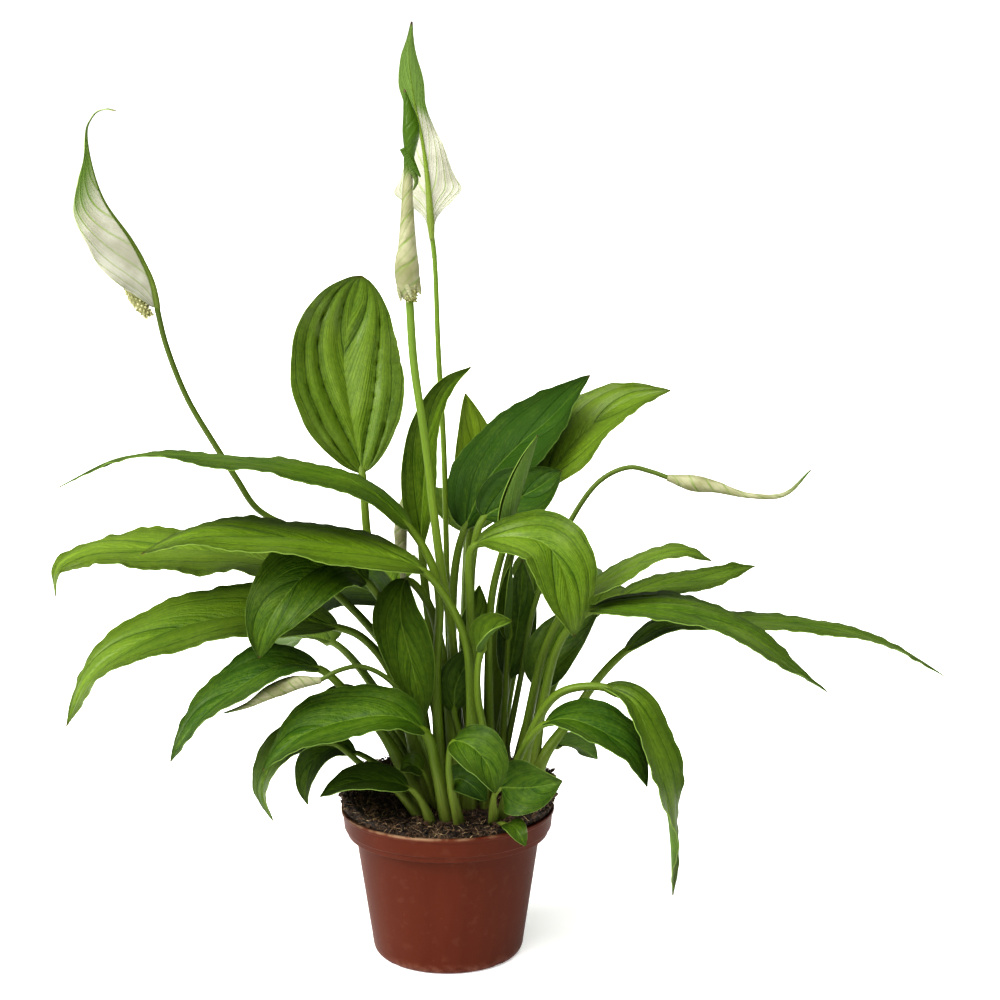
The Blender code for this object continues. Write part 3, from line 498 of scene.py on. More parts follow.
# A stalk at the peat, half way up and at the top, and its streaks.
STEM_GREENS = {
    "leaf_stalk": ((0.14, 0.175, 0.035), (0.082, 0.122, 0.010), (0.100, 0.150, 0.012), (0.036, 0.066, 0.004)),
    "flower_stalk": ((0.15, 0.19, 0.04), (0.125, 0.180, 0.020), (0.110, 0.170, 0.024), (0.060, 0.100, 0.008)),
    "old_flower_stalk": (
        (0.12, 0.16, 0.03), (0.070, 0.105, 0.012), (0.068, 0.100, 0.014), (0.040, 0.060, 0.006)),
}


# ---------------------------------------------------------------- shaping helpers


def deselect():
    bpy.ops.object.select_all(action="DESELECT")


def pick(obj):
    """Selects this object alone and makes it active."""
    deselect()
    obj.select_set(True)
    bpy.context.view_layer.objects.active = obj


def named(name):
    """The primitive that was just added, under its own name."""
    made = bpy.context.active_object
    made.name = name
    made.data.name = name
    return made


def keep(made, node):
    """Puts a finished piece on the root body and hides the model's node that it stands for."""
    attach(made, "root")
    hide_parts(node)


def unit(rows):
    return rows / np.linalg.norm(rows, axis=-1, keepdims=True)


def smooth(value, low, high):
    """0 below low, 1 above high, and an even S between them."""
    part = np.clip((np.asarray(value, float) - low) / (high - low), 0.0, 1.0)
    return part * part * (3.0 - 2.0 * part)


def hermite(fine, knots, values):
    """A smooth curve through the values at the knots."""
    values = np.asarray(values, float)
    slopes = np.gradient(values, knots, axis=0)
    piece = np.clip(np.searchsorted(knots, fine, side="right") - 1, 0, len(knots) - 2)
    span = knots[piece + 1] - knots[piece]
    part = (fine - knots[piece]) / span
    if values.ndim == 2:
        span = span[:, None]
        part = part[:, None]
    return (
        values[piece] * (2 * part**3 - 3 * part**2 + 1)
        + values[piece + 1] * (3 * part**2 - 2 * part**3)
        + slopes[piece] * span * (part**3 - 2 * part**2 + part)
        + slopes[piece + 1] * span * (part**3 - part**2)
    )


def eased(parts, pairs):
    """The pairs' second numbers, smoothly, at each part."""
    places, values = np.array(pairs, float).T
    return np.maximum(hermite(np.asarray(parts, float), places, values), min(values))


class Run:
    """A smooth line through a route's stations, with a frame at any distance along it."""

    def __init__(self, route):
        stations = np.array(route, float)
        chords = np.linalg.norm(np.diff(stations, axis=0), axis=1)
        knots = np.concatenate([[0.0], np.cumsum(np.sqrt(chords))])
        fine = np.linspace(0.0, knots[-1], ROUTE_SAMPLES)
        self.points = hermite(fine, knots, stations)
        steps = np.linalg.norm(np.diff(self.points, axis=0), axis=1)
        self.distances = np.concatenate([[0.0], np.cumsum(steps)])
        self.length = self.distances[-1]
        self.marks = np.interp(knots, fine, self.distances)
        self.tangents = np.gradient(self.points, self.distances, axis=0)

    def read(self, table, distance):
        return np.stack([np.interp(distance, self.distances, table[:, axis]) for axis in range(3)], axis=-1)

    def frame(self, distance, face):
        """(centre, side, up) at each distance; past an end the line goes straight on."""
        held = np.clip(distance, 0.0, self.length)
        forward = unit(self.read(self.tangents, held))
        centre = self.read(self.points, held) + forward * (distance - held)[:, None]
        face = np.broadcast_to(np.asarray(face, float), centre.shape)
        up = unit(face - forward * (face * forward).sum(axis=1, keepdims=True))
        return centre, np.cross(forward, up), up


def points_of(obj):
    points = np.empty(len(obj.data.vertices) * 3)
    obj.data.vertices.foreach_get("co", points)
    return points.reshape(-1, 3)


def new_grid(name, columns, rows):
    """A flat grid primitive, and for each of its points how far across (-1 to 1) and along (0 to 1) it is."""
    deselect()
    bpy.ops.mesh.primitive_grid_add(x_subdivisions=columns, y_subdivisions=rows, size=2.0)
    made = named(name)
    places = points_of(made)
    return made, places[:, 0], (places[:, 1] + 1.0) / 2.0


def put(obj, points_mm):
    obj.data.vertices.foreach_set("co", (np.asarray(points_mm) * MM).astype(np.float32).ravel())
    obj.data.update()


def note(obj, **values):
    """Keeps a number for each point, which the materials read by name."""
    count = len(obj.data.vertices)
    for name, value in values.items():
        layer = obj.data.attributes.new(name, "FLOAT", "POINT")
        layer.data.foreach_set("value", np.broadcast_to(np.asarray(value, np.float32), count).copy())


def apply_modifiers(obj):
    pick(obj)
    for step in list(obj.modifiers):
        bpy.ops.object.modifier_apply(modifier=step.name)


def thicken(obj, thickness, other_side=0):
    """Gives a sheet its thickness in mm; its underside's material is other_side slots further on."""
    shell = obj.modifiers.new("thickness", "SOLIDIFY")
    shell.thickness = thickness * MM
    shell.offset = 0.0
    shell.material_offset = other_side
    shell.material_offset_rim = 0
    apply_modifiers(obj)


def close_seams(obj):
    """Merges the points that meet, and turns all faces outwards."""
    pick(obj)
    bpy.ops.object.mode_set(mode="EDIT")
    bpy.ops.mesh.select_all(action="SELECT")
    bpy.ops.mesh.remove_doubles(threshold=0.00001)
    bpy.ops.mesh.normals_make_consistent(inside=False)
    bpy.ops.object.mode_set(mode="OBJECT")


def shade(obj, degrees=60.0):
    pick(obj)
    bpy.ops.object.shade_smooth_by_angle(angle=math.radians(degrees))


def joined(name, *objects):
    deselect()
    for obj in objects:
        obj.select_set(True)
    bpy.context.view_layer.objects.active = objects[0]
    bpy.ops.object.join()
    objects[0].name = name
    objects[0].data.name = name
    return objects[0]


def copies(name, patterns, places):
    """One piece made of small copies: each place is (which pattern, a 4x4 matrix in mm, a tone)."""
    shapes = []
    for pattern in patterns:
        shapes.append((points_of(pattern) / MM, [tuple(face.vertices) for face in pattern.data.polygons]))
        bpy.data.objects.remove(pattern, do_unlink=True)
    all_points = []
    all_faces = []
    tones = []
    start = 0
    for which, matrix, tone in places:
        points, faces = shapes[which]
        turn = np.array(matrix)
        all_points.append(points @ turn[:3, :3].T + turn[:3, 3])
        all_faces += [tuple(corner + start for corner in face) for face in faces]
        tones.append(np.full(len(points), tone))
        start += len(points)
    data = bpy.data.meshes.new(name)
    data.from_pydata((np.concatenate(all_points) * MM).tolist(), [], all_faces)
    made = bpy.data.objects.new(name, data)
    bpy.context.scene.collection.objects.link(made)
    note(made, tone=np.concatenate(tones))
    return made


def tube(name, run, radii, face, sides=14, spacing=3.0, start=0.0, end=None, shape=None, drop=None):
    """A round closed stem along the run.

    radii and drop give its radius and how far below the run it lies at each distance, and shape a
    factor on the radius at each distance and angle.
    """
    end = run.length if end is None else end
    made, around, part = new_grid(name, sides, max(6, int((end - start) / spacing)))
    distance = start + part * (end - start)
    centre, side, up = run.frame(distance, face)
    angle = -math.pi * around
    radius = radii(distance)
    if shape is not None:
        radius = radius * shape(distance, angle)
    radius = radius * np.where((part < 1e-6) | (part > 1.0 - 1e-6), 0.0, 1.0)
    if drop is not None:
        centre = centre - up * drop(distance)[:, None]
    out = np.cos(angle)[:, None] * side + np.sin(angle)[:, None] * up
    put(made, centre + out * radius[:, None])
    note(made, reach=np.clip(distance / run.length, 0.0, 1.0), rise=distance, across=np.cos(angle),
         front=np.sin(angle))
    close_seams(made)
    return made


def fold_up(made, frame, across, half, lift, shape):
    """Lays a grid along its line: each half turns up by shape.fold, and by shape.cup more at the margin."""
    centre, side, up = frame
    away = np.abs(across)
    reach = away * half
    turn = math.radians(shape.fold)
    curl = math.radians(shape.cup) * away / 2
    normal = turn + 2 * curl
    flat = np.sign(across) * (reach * np.cos(turn + curl) - lift * np.sin(normal))
    high = reach * np.sin(turn + curl) + lift * np.cos(normal)
    put(made, centre + side * flat[:, None] + up * high[:, None])


def turning_face(shape, part):
    """The way the upper side looks at each part, going evenly from shape.face_base to shape.face_tip."""
    return np.array(shape.face_base) * (1 - part[:, None]) + np.array(shape.face_tip) * part[:, None]


# ---------------------------------------------------------------- finishes


class Value:
    """A node's output that Python's operators work on: each adds its Math node."""

    def __init__(self, nodes, socket):
        self.nodes = nodes
        self.socket = socket

    def math(self, operation, *others):
        return self.nodes.add("ShaderNodeMath", {"operation": operation}, dict(enumerate((self, *others))))

    def __add__(self, other):
        return self.math("ADD", other)

    __radd__ = __add__

    def __sub__(self, other):
        return self.math("SUBTRACT", other)

    def __rsub__(self, other):
        return self.math("MULTIPLY", -1.0).math("ADD", other)

    def __mul__(self, other):
        return self.math("MULTIPLY", other)

    __rmul__ = __mul__

    def __truediv__(self, other):
        return self.math("DIVIDE", other)

    def size(self):
        return self.math("ABSOLUTE")

    def rise(self, low, high):
        """0 below low, 1 above high, smoothly."""
        return self.nodes.add(
            "ShaderNodeMapRange", {"interpolation_type": "SMOOTHSTEP"},
            {"Value": self, "From Min": low, "From Max": high})

    def line(self, width):
        """1 on each whole number, falling to 0 at width away from it."""
        return 1.0 - ((self + 0.5).math("FRACT") - 0.5).size().rise(0.0, width)


class Nodes:
    """A node tree, and the one way that nodes are added to it."""

    def __init__(self, tree):
        self.tree = tree

    def join(self, value, socket):
        if isinstance(value, Value):
            self.tree.links.new(value.socket, socket)
        elif isinstance(value, tuple) and socket.type == "RGBA":
            socket.default_value = (*value, 1.0)
        else:
            socket.default_value = value

    def add(self, kind, settings=None, sockets=None, output=0):
        """Adds a node with its settings, a ramp's stops and its sockets' values or links."""
        node = self.tree.nodes.new(kind)
        for key, value in (settings or {}).items():
            if key != "stops":
                setattr(node, key, value)
                continue
            stops = node.color_ramp.elements
            stops.remove(stops[-1])
            stops[0].position = value[0][0]
            stops[0].color = (*value[0][1], 1.0)
            for place, colour in value[1:]:
                stops.new(place).color = (*colour, 1.0)
        for key, value in (sockets or {}).items():
            self.join(value, node.inputs[key])
        return Value(self, node.outputs[output])


class Finish(Nodes):
    """A material and its nodes."""

    def __init__(self, name, specular):
        self.material = bpy.data.materials.new(name)
        self.material.use_nodes = True
        super().__init__(self.material.node_tree)
        self.set("Specular IOR Level", specular)

    def set(self, name, value):
        self.join(value, self.tree.nodes["Principled BSDF"].inputs[name])

    def mix(self, factor, first, second):
        return self.add("ShaderNodeMix", {"data_type": "RGBA"}, {0: factor, 6: first, 7: second}, 2)

    def number(self, name):
        return self.add("ShaderNodeAttribute", {"attribute_name": name}, output="Fac")

    def numbers(self, *names):
        return [self.number(name) for name in names]

    def place(self):
        return self.add("ShaderNodeTexCoord", output="Object")

    def along(self, axis):
        """How far along the object's own axis, in metres."""
        return self.add("ShaderNodeSeparateXYZ", {}, {"Vector": self.place()}, axis)

    def stretched(self, scale):
        return self.add("ShaderNodeMapping", {}, {"Vector": self.place(), "Scale": scale})

    def noise(self, vector, scale, detail=3.0, rough=0.5):
        return self.add(
            "ShaderNodeTexNoise", {}, {"Vector": vector, "Scale": scale, "Detail": detail, "Roughness": rough})

    def cells(self, vector, scale, feature="F1"):
        return self.add("ShaderNodeTexVoronoi", {"feature": feature}, {"Vector": vector, "Scale": scale})

    def vector(self, x, y, z):
        return self.add("ShaderNodeCombineXYZ", {}, {"X": x, "Y": y, "Z": z})

    def bump(self, height, distance):
        self.set("Normal", self.add("ShaderNodeBump", {}, {"Height": height, "Distance": distance}))


def leaf_side(name, greens, upper):
    """A leaf's upper side or underside: toned green with side veins, a pale midrib and margin line, a dry tip;
    the upper side's veins are darkened by painted shade in their grooves, and the margin line is partly a
    painted rim highlight.
    """
    dark, bright, rib, vein_tint_and_groove_shade = greens
    finish = Finish(name, 0.16)
    finish.set("Coat Roughness", 0.3)
    tone, shine, margin, reach, vein = finish.numbers("tone", "shine", "margin", "reach", "vein")
    lateral = finish.number("lateral").size()
    place = finish.place()
    cloud = finish.noise(place, 32.0, 2.0)
    mottle = finish.noise(place, 420.0, 4.0, 0.6)
    minor = (vein * 13.0).line(0.3)
    middling = (vein * 4.0).line(0.12)
    major = vein.line(0.09)
    net = finish.cells(finish.vector(vein * 14.0, reach * 60.0, margin * 6.0), 1.0, "DISTANCE_TO_EDGE")
    threads = 1.0 - net.rise(0.0, 0.12)
    streaks = finish.noise(finish.vector(vein * 7.0, margin * 1.6, reach * 1.5), 1.0, 4.0)
    puckers = finish.noise(finish.vector(vein * 16.0, reach * 34.0, margin * 3.0), 1.0, 2.0)
    # Each leaf's tone, with clouds, mottles and streaks; the low tones of shaded leaves are painted shade.
    brightness = tone + (cloud - 0.5) * 0.4 + (mottle - 0.5) * 0.5 + (streaks - 0.5) * 0.6
    green = finish.mix(brightness + threads * (0.05 if upper else 0.12), dark, bright)
    # On the upper side the vein lines darken to painted shade in their grooves; on the underside they turn the
    # veins' own paler green.
    veined = minor * (0.16 if upper else 0.2) + middling * 0.2 + major * (0.3 if upper else 0.4)
    green = finish.mix(veined, green, vein_tint_and_groove_shade)
    ribbed = 1.0 - (lateral + reach * 0.45).rise(0.25, 0.8)
    green = finish.mix(ribbed * (0.4 if upper else 0.9), green, rib)
    # A pale line along the margin, fading before the tip: partly the margin's own paler green and partly a
    # painted rim highlight.
    edge = margin.rise(0.97, 1.0) * (1.0 - reach.rise(0.9, 0.97))
    green = finish.mix(edge * 0.28, green, PALE_MARGIN_AND_RIM_HIGHLIGHT)
    dry = (reach + (mottle - 0.5) * 0.02).rise(0.978, 0.996) * 0.7
    finish.set("Base Color", finish.mix(dry, green, DRY_LEAF))
    finish.set("Roughness", 0.46 + mottle * 0.14 + dry * 0.3 if upper else 0.5 + cloud * 0.15)
    gloss = (1.0 - dry) * (1.0 - minor * 0.3) * (0.25 + cloud.rise(0.35, 0.65) * 0.75)
    finish.set("Coat Weight", gloss * shine * (0.6 if upper else 0.15))
    ridges = (minor * 0.45 + middling * 0.6 + major + threads * 0.3) * (-1.0 if upper else 1.0)
    finish.bump(ridges + mottle * 0.3 + puckers * 1.1 + streaks * 1.2, 0.0003)
    return finish.material


def stem_finish(name, base, middle, top, streak):
    """A stalk: pale where it leaves the peat, streaked lengthwise, and speckled."""
    finish = Finish(name, 0.18)
    reach, across, front, height = finish.numbers("reach", "across", "front", "rise")
    place = finish.place()
    fine = finish.noise(finish.vector(across * 7.0, front * 7.0, height * 0.05), 1.0, 4.0)
    cloud = finish.noise(place, 60.0, 2.0)
    speck = finish.noise(place, 900.0, 2.0)
    green = finish.mix(reach.rise(0.45, 1.0), middle, top)
    green = finish.mix(1.0 - height.rise(4.0, 46.0), green, base)
    green = finish.mix(fine.rise(0.35, 0.75) * 0.45 + (cloud - 0.5) * 0.3, green, streak)
    finish.set("Base Color", finish.mix(speck.rise(0.6, 0.8) * 0.12, green, (0.30, 0.34, 0.14)))
    finish.set("Roughness", 0.38 + fine * 0.18)
    finish.set("Coat Weight", 0.03 + cloud * 0.06)
    finish.bump(fine + speck * 0.25, 0.0003)
    return finish.material


def spathe_finish():
    """Cream with green side veins, greener where the piece's own "green" number says."""
    finish = Finish("spathe", 0.25)
    margin, reach, vein, greening = finish.numbers("margin", "reach", "vein", "green")
    lateral = finish.number("lateral").size()
    place = finish.place()
    cloud = finish.noise(place, 70.0, 3.0)
    grain = finish.noise(place, 700.0, 2.0)
    minor = (vein * 3.0).line(0.2)
    major = vein.line(0.13)
    colour = finish.mix(cloud.rise(0.35, 0.7), (0.295, 0.290, 0.225), (0.385, 0.380, 0.315))
    veined = major * (0.22 + cloud * 0.3 + greening * 0.6) + minor * (0.04 + greening * 0.4)
    colour = finish.mix(veined, colour, (0.20, 0.29, 0.05))
    greened = (greening + (cloud - 0.5) * 0.3 + major * greening * 0.3).rise(0.25, 0.95)
    colour = finish.mix(greened, colour, (0.100, 0.165, 0.028))
    ribbed = 1.0 - (lateral + reach * 0.7).rise(0.5, 1.5)
    colour = finish.mix(ribbed * 0.85, colour, (0.14, 0.22, 0.045))
    colour = finish.mix(reach.rise(0.975, 0.992), colour, DRY_SPATHE)
    finish.set("Base Color", finish.mix(margin.rise(0.95, 1.0) * 0.35, colour, (0.42, 0.46, 0.22)))
    finish.set("Roughness", 0.42 + grain * 0.16)
    finish.set("Coat Weight", 0.08 + cloud * 0.06)
    finish.bump(major * -1.0 + minor * -0.45 + grain * 0.3, 0.00018)
    return finish.material


def bud_finish():
    """A rolled spathe: cream, wound round with green veins, and green where its "green" number says."""
    finish = Finish("rolled_bud", 0.2)
    reach, greening, front, across = finish.numbers("reach", "green", "front", "across")
    angle = front.math("ARCTAN2", across) / math.tau
    place = finish.place()
    cloud = finish.noise(place, 90.0, 3.0)
    grain = finish.noise(place, 800.0, 2.0)
    wound = (angle * 2.0 + reach * 9.0).line(0.12)
    thin = (angle * 6.0 + reach * 16.0).line(0.22)
    colour = finish.mix(cloud.rise(0.3, 0.7), (0.160, 0.160, 0.080), (0.245, 0.242, 0.150))
    colour = finish.mix(wound * 0.6 + thin * 0.25, colour, (0.11, 0.16, 0.03))
    colour = finish.mix((greening + (cloud - 0.5) * 0.2).rise(0.1, 0.9), colour, (0.036, 0.075, 0.001))
    finish.set("Base Color", finish.mix(reach.rise(0.975, 0.995), colour, DRY_SPATHE))
    finish.set("Roughness", 0.36 + grain * 0.16)
    finish.set("Coat Weight", 0.04 + greening * 0.06)
    finish.bump(wound * -1.0 + thin * -0.35 + grain * 0.3, 0.0002)
    return finish.material


def spadix_finish():
    finish = Finish("spadix_florets", 0.5)
    finish.set("Subsurface Weight", 0.1)
    finish.set("Subsurface Radius", (0.0012, 0.0008, 0.0004))
    speck = finish.noise(finish.place(), 1200.0, 3.0)
    ripeness = finish.number("tone") + (speck - 0.5) * 0.5
    finish.set("Base Color", finish.mix(ripeness, (0.16, 0.165, 0.045), (0.46, 0.44, 0.26)))
    finish.set("Roughness", 0.5 + speck * 0.2)
    finish.bump(speck, 0.0002)
    return finish.material


def plastic_finish():
    """Moulded brown plastic: faint flow lines, scuffs and dust, and dried lime along the rim."""
    finish = Finish("terracotta_plastic", 0.09)
    finish.set("Coat Roughness", 0.3)
    place = finish.place()
    height = finish.along("Z")
    flow = finish.noise(finish.stretched((1.0, 1.0, 0.06)), 70.0, 3.0)
    turned = finish.noise(finish.stretched((0.12, 0.12, 1.0)), 900.0, 3.0)
    cloud = finish.noise(place, 22.0, 3.0)
    grain = finish.noise(place, 1800.0, 2.0)
    blot = finish.noise(place, 150.0, 4.0)
    colour = finish.mix(flow * 0.6 + cloud * 0.5, (0.049, 0.0100, 0.0031), (0.082, 0.0180, 0.0070))
    dusty = blot.rise(0.56, 0.72) * 0.04
    colour = finish.mix(dusty, colour, (0.26, 0.17, 0.12))
    fleck = finish.noise(finish.stretched((1.0, 1.0, 0.4)), 620.0, 2.0).rise(0.70, 0.78)
    colour = finish.mix(fleck * 0.07, colour, (0.24, 0.12, 0.08))
    base_wear = (1.0 - height.rise(0.001, 0.008)) * blot.rise(0.42, 0.62) * 0.35
    colour = finish.mix(base_wear, colour, (0.20, 0.10, 0.07))
    lime = height.rise(0.0822, 0.0838) * (blot * 0.9 + cloud * 0.4).rise(0.50, 0.80)
    lime = lime * (1.0 - finish.along("X").rise(0.005, 0.045))
    finish.set("Base Color", finish.mix(lime * 0.5, colour, (0.30, 0.22, 0.14)))
    finish.set("Roughness", 0.40 + grain * 0.08 + cloud * 0.08 + dusty * 1.5 + lime * 0.3)
    finish.set("Coat Weight", 0.03 * (1.0 - lime))
    finish.bump(turned * 0.5 + grain * 0.5 + flow * 0.35 + lime * 1.5, 0.00012)
    return finish.material


def peat_finish():
    """Black and brown crumbs with pale specks, rough all over."""
    finish = Finish("peat", 0.5)
    place = finish.place()
    clods = finish.noise(place, 260.0, 5.0, 0.65)
    grains = finish.cells(place, 900.0)
    fine = finish.noise(place, 1500.0, 4.0, 0.7)
    dryness = (finish.number("tone") * 0.8 + clods * 0.9 - 0.45).rise(0.0, 1.0)
    colour = finish.mix(dryness, (0.005, 0.003, 0.0015), (0.115, 0.066, 0.035))
    finish.set("Base Color", finish.mix(fine.rise(0.62, 0.78) * 0.5, colour, (0.13, 0.085, 0.045)))
    finish.set("Roughness", 0.78 + fine * 0.2)
    finish.bump(clods + grains * 0.6 + fine * 0.6, 0.0009)
    return finish.material


def fibre_finish():
    """Dry root and moss threads, each from nearly black to straw by its own tone."""
    finish = Finish("peat_fibres", 0.5)
    fine = finish.noise(finish.place(), 900.0, 3.0)
    stops = [
        (0.0, (0.020, 0.011, 0.005)),
        (0.45, (0.080, 0.044, 0.022)),
        (0.8, (0.21, 0.140, 0.078)),
        (1.0, (0.40, 0.32, 0.19)),
    ]
    dryness = finish.number("tone") + (fine - 0.5) * 0.25
    finish.set("Base Color", finish.add("ShaderNodeValToRGB", {"stops": stops}, {"Fac": dryness}, "Color"))
    finish.set("Roughness", 0.7 + fine * 0.2)
    finish.bump(fine, 0.0002)
    return finish.material


# ---------------------------------------------------------------- pot and peat


def rounded(corners, radius, steps=4):
    """A profile with each inner corner replaced by a short arc."""
    made = [corners[0]]
    for before, corner, after in zip(corners, corners[1:], corners[2:]):
        corner = np.array(corner, float)
        back = np.array(before) - corner
        on = np.array(after) - corner
        reach = min(radius, np.linalg.norm(back) * 0.45, np.linalg.norm(on) * 0.45)
        first = corner + unit(back) * reach
        last = corner + unit(on) * reach
        for part in np.linspace(0.0, 1.0, steps):
            made.append(tuple(first * (1 - part) ** 2 + corner * 2 * part * (1 - part) + last * part**2))
    return [*made, corners[-1]]


def turned_shell(name, profile, sides):
    """Raised from a ring: each (radius, height) of the profile is one extrusion of the open edge."""
    deselect()
    radius, height = profile[0]
    bpy.ops.mesh.primitive_circle_add(vertices=sides, radius=radius * MM, location=(0, 0, height * MM))
    made = named(name)
    bpy.ops.object.transform_apply(location=True, rotation=True, scale=True)
    bpy.ops.object.mode_set(mode="EDIT")
    bpy.ops.mesh.select_all(action="SELECT")
    bpy.ops.mesh.edge_face_add()
    bpy.ops.mesh.poke()
    bpy.ops.mesh.select_all(action="DESELECT")
    bpy.ops.mesh.select_mode(type="EDGE")
    bpy.ops.mesh.select_non_manifold()
    for (first, low), (second, high) in zip(profile, profile[1:]):
        bpy.ops.mesh.extrude_edges_move(TRANSFORM_OT_translate={"value": (0, 0, (high - low) * MM)})
        grow = second / first
        bpy.ops.transform.resize(value=(grow, grow, 1.0), center_override=(0, 0, high * MM))
    bpy.ops.mesh.edge_face_add()
    bpy.ops.mesh.poke()
    bpy.ops.mesh.select_mode(type="VERT")
    bpy.ops.mesh.select_all(action="SELECT")
    bpy.ops.mesh.normals_make_consistent(inside=False)
    bpy.ops.object.mode_set(mode="OBJECT")
    return made


def cut(target, cutter):
    step = target.modifiers.new("cut", "BOOLEAN")
    step.operation = "DIFFERENCE"
    step.object = cutter
    apply_modifiers(target)
    bpy.data.objects.remove(cutter, do_unlink=True)


def make_pot(plastic):
    step_top = POT_HEIGHT - COLLAR_DEPTH
    step_base = step_top - STEP_DEPTH
    foot = BODY_BASE_RADIUS - BASE_CORNER + 1.0
    base_curve = [
        (BODY_BASE_RADIUS - BASE_CORNER * 0.75 * (1 - math.cos(angle)), BASE_CORNER * (1 - math.sin(angle)))
        for angle in np.radians((74, 60, 46, 32, 18, 6))
    ]
    body = np.linspace(0.12, 0.9, 7)[:, None] * np.array(
        [BODY_TOP_RADIUS - BODY_BASE_RADIUS, step_base - 1.0 - BASE_CORNER]) + (BODY_BASE_RADIUS, BASE_CORNER)
    outside = [
        (HUB_RADIUS - 0.4, 0.0),
        (HUB_RADIUS, FOOT_RECESS),
        (FOOT_INNER_RADIUS, FOOT_RECESS),
        (FOOT_INNER_RADIUS + 0.4, 0.0),
        (foot - 1.0, 0.0),
        *base_curve,
        *map(tuple, body),
        (BODY_TOP_RADIUS, step_base - 1.0),
        (STEP_RADIUS - 0.2, step_base),
        (STEP_RADIUS + 0.3, step_top),
        (COLLAR_RADIUS, step_top + 0.5),
        (RIM_RADIUS - 0.9, POT_HEIGHT - 2.6),
        (RIM_RADIUS, POT_HEIGHT - 2.0),
        (RIM_RADIUS, POT_HEIGHT),
        (RIM_RADIUS - 2.0, POT_HEIGHT),
        (RIM_RADIUS - 2.6, POT_HEIGHT - 2.0),
        (STEP_RADIUS - WALL - 0.4, step_base + WALL),
        (BODY_TOP_RADIUS - WALL, step_base - WALL),
        (BODY_BASE_RADIUS - WALL, BASE_CORNER),
        (BODY_BASE_RADIUS - WALL - 3.0, FLOOR),
        (4.0, FLOOR),
    ]
    pot = turned_shell("fine_pot", rounded(outside, 0.55), POT_SIDES)
    ring = (HUB_RADIUS + FOOT_INNER_RADIUS) / 2
    for index in range(DRAIN_HOLES):
        angle = math.tau * (index + 0.5) / DRAIN_HOLES
        deselect()
        bpy.ops.mesh.primitive_cylinder_add(
            vertices=32, radius=DRAIN_RADIUS * MM, depth=4 * FLOOR * MM,
            location=(ring * math.cos(angle) * MM, ring * math.sin(angle) * MM, 0))
        cut(pot, bpy.context.active_object)
    length = foot + BASE_CORNER - FOOT_INNER_RADIUS + 4.0
    middle = FOOT_INNER_RADIUS - 2.0 + length / 2
    for index in range(CHANNELS):
        angle = math.tau * (index + 0.5) / CHANNELS
        deselect()
        bpy.ops.mesh.primitive_cube_add(size=1.0)
        cutter = bpy.context.active_object
        cutter.data.transform(
            Matrix.Rotation(angle, 4, "Z")
            @ Matrix.Translation((middle * MM, 0, 0))
            @ Matrix.Diagonal((length * MM, CHANNEL_WIDTH * MM, 2 * FOOT_RECESS * MM, 1.0)))
        cut(pot, cutter)
    shade(pot, 35.0)
    pot.data.materials.append(plastic)
    return pot


def soil_height(x, y):
    """The height that the routes start from, the same as the model's."""
    mound = SOIL_CENTRE + SOIL_SIDE_RISE * (x / SOIL_REACH) ** 2 + SOIL_BACK_RISE * y / SOIL_REACH
    shoulder = np.interp(np.hypot(x, y), (SHOULDER_START, RIM_RADIUS), (0.0, 1.0)) ** 2
    return mound * (1.0 - shoulder) + SOIL_EDGE * shoulder


def peat_height(x, y):
    """The peat's own surface, which stays high until just inside the rim, without its lumps."""
    mound = SOIL_CENTRE + PEAT_SIDE_RISE * (x / SOIL_REACH) ** 2 + SOIL_BACK_RISE * y / SOIL_REACH
    shoulder = smooth(np.hypot(x, y), 56.2, 58.6)
    return mound * (1.0 - shoulder) + PEAT_RIM * shoulder


def overhang(z, radius, most):
    """The factor by which peat that stands above the rim bulges out over it."""
    return 1.0 + most * smooth(z, SOIL_EDGE + 1.0, SOIL_EDGE + 6.0) * smooth(radius, 46.0, 57.0)


def lumps(x, y):
    """(size, frequency, seed) noises added up, for each place."""
    layers = ((1.5, 0.16, 3.0), (1.3, 0.42, 8.0), (0.9, 1.1, 5.0))
    return sum(
        size * np.array([noise.noise(Vector((a * often, b * often, seed))) for a, b in zip(x, y)])
        for size, often, seed in layers)


def make_peat(peat):
    """A lumpy mound: a grid wrapped round the axis, over the top, down the wall and in below."""
    made, around, part = new_grid("fine_soil", 190, 84)
    angle = math.pi * around
    radius = PEAT_EDGE * np.clip(part / PEAT_TOP_SHARE, 0.0, 1.0)
    x = radius * np.cos(angle)
    y = radius * np.sin(angle)
    z = peat_height(x, y) + lumps(x, y) * (1.0 - smooth(radius, PEAT_EDGE - 1.5, PEAT_EDGE))
    bulge = overhang(z, radius, 2.6 / 57.0)
    down = np.clip((part - PEAT_TOP_SHARE) / (1.0 - PEAT_TOP_SHARE), 0.0, 1.0)
    low_edge = PEAT_EDGE - 4.0
    on_wall = down < 0.6
    low_radius = np.where(on_wall, PEAT_EDGE - 4.0 * smooth(down, 0.0, 0.5), low_edge * (1.0 - down) / 0.4)
    low_z = np.where(on_wall, PEAT_RIM - 14.0 * down / 0.6, PEAT_RIM - 14.0)
    top = part <= PEAT_TOP_SHARE + 0.005
    x = np.where(top, x * bulge, low_radius * np.cos(angle))
    y = np.where(top, y * bulge, low_radius * np.sin(angle))
    put(made, np.stack([x, y, np.where(top, z, low_z)], axis=1))
    note(made, tone=0.35)
    close_seams(made)
    shade(made, 70.0)
    made.data.materials.append(peat)
    return made


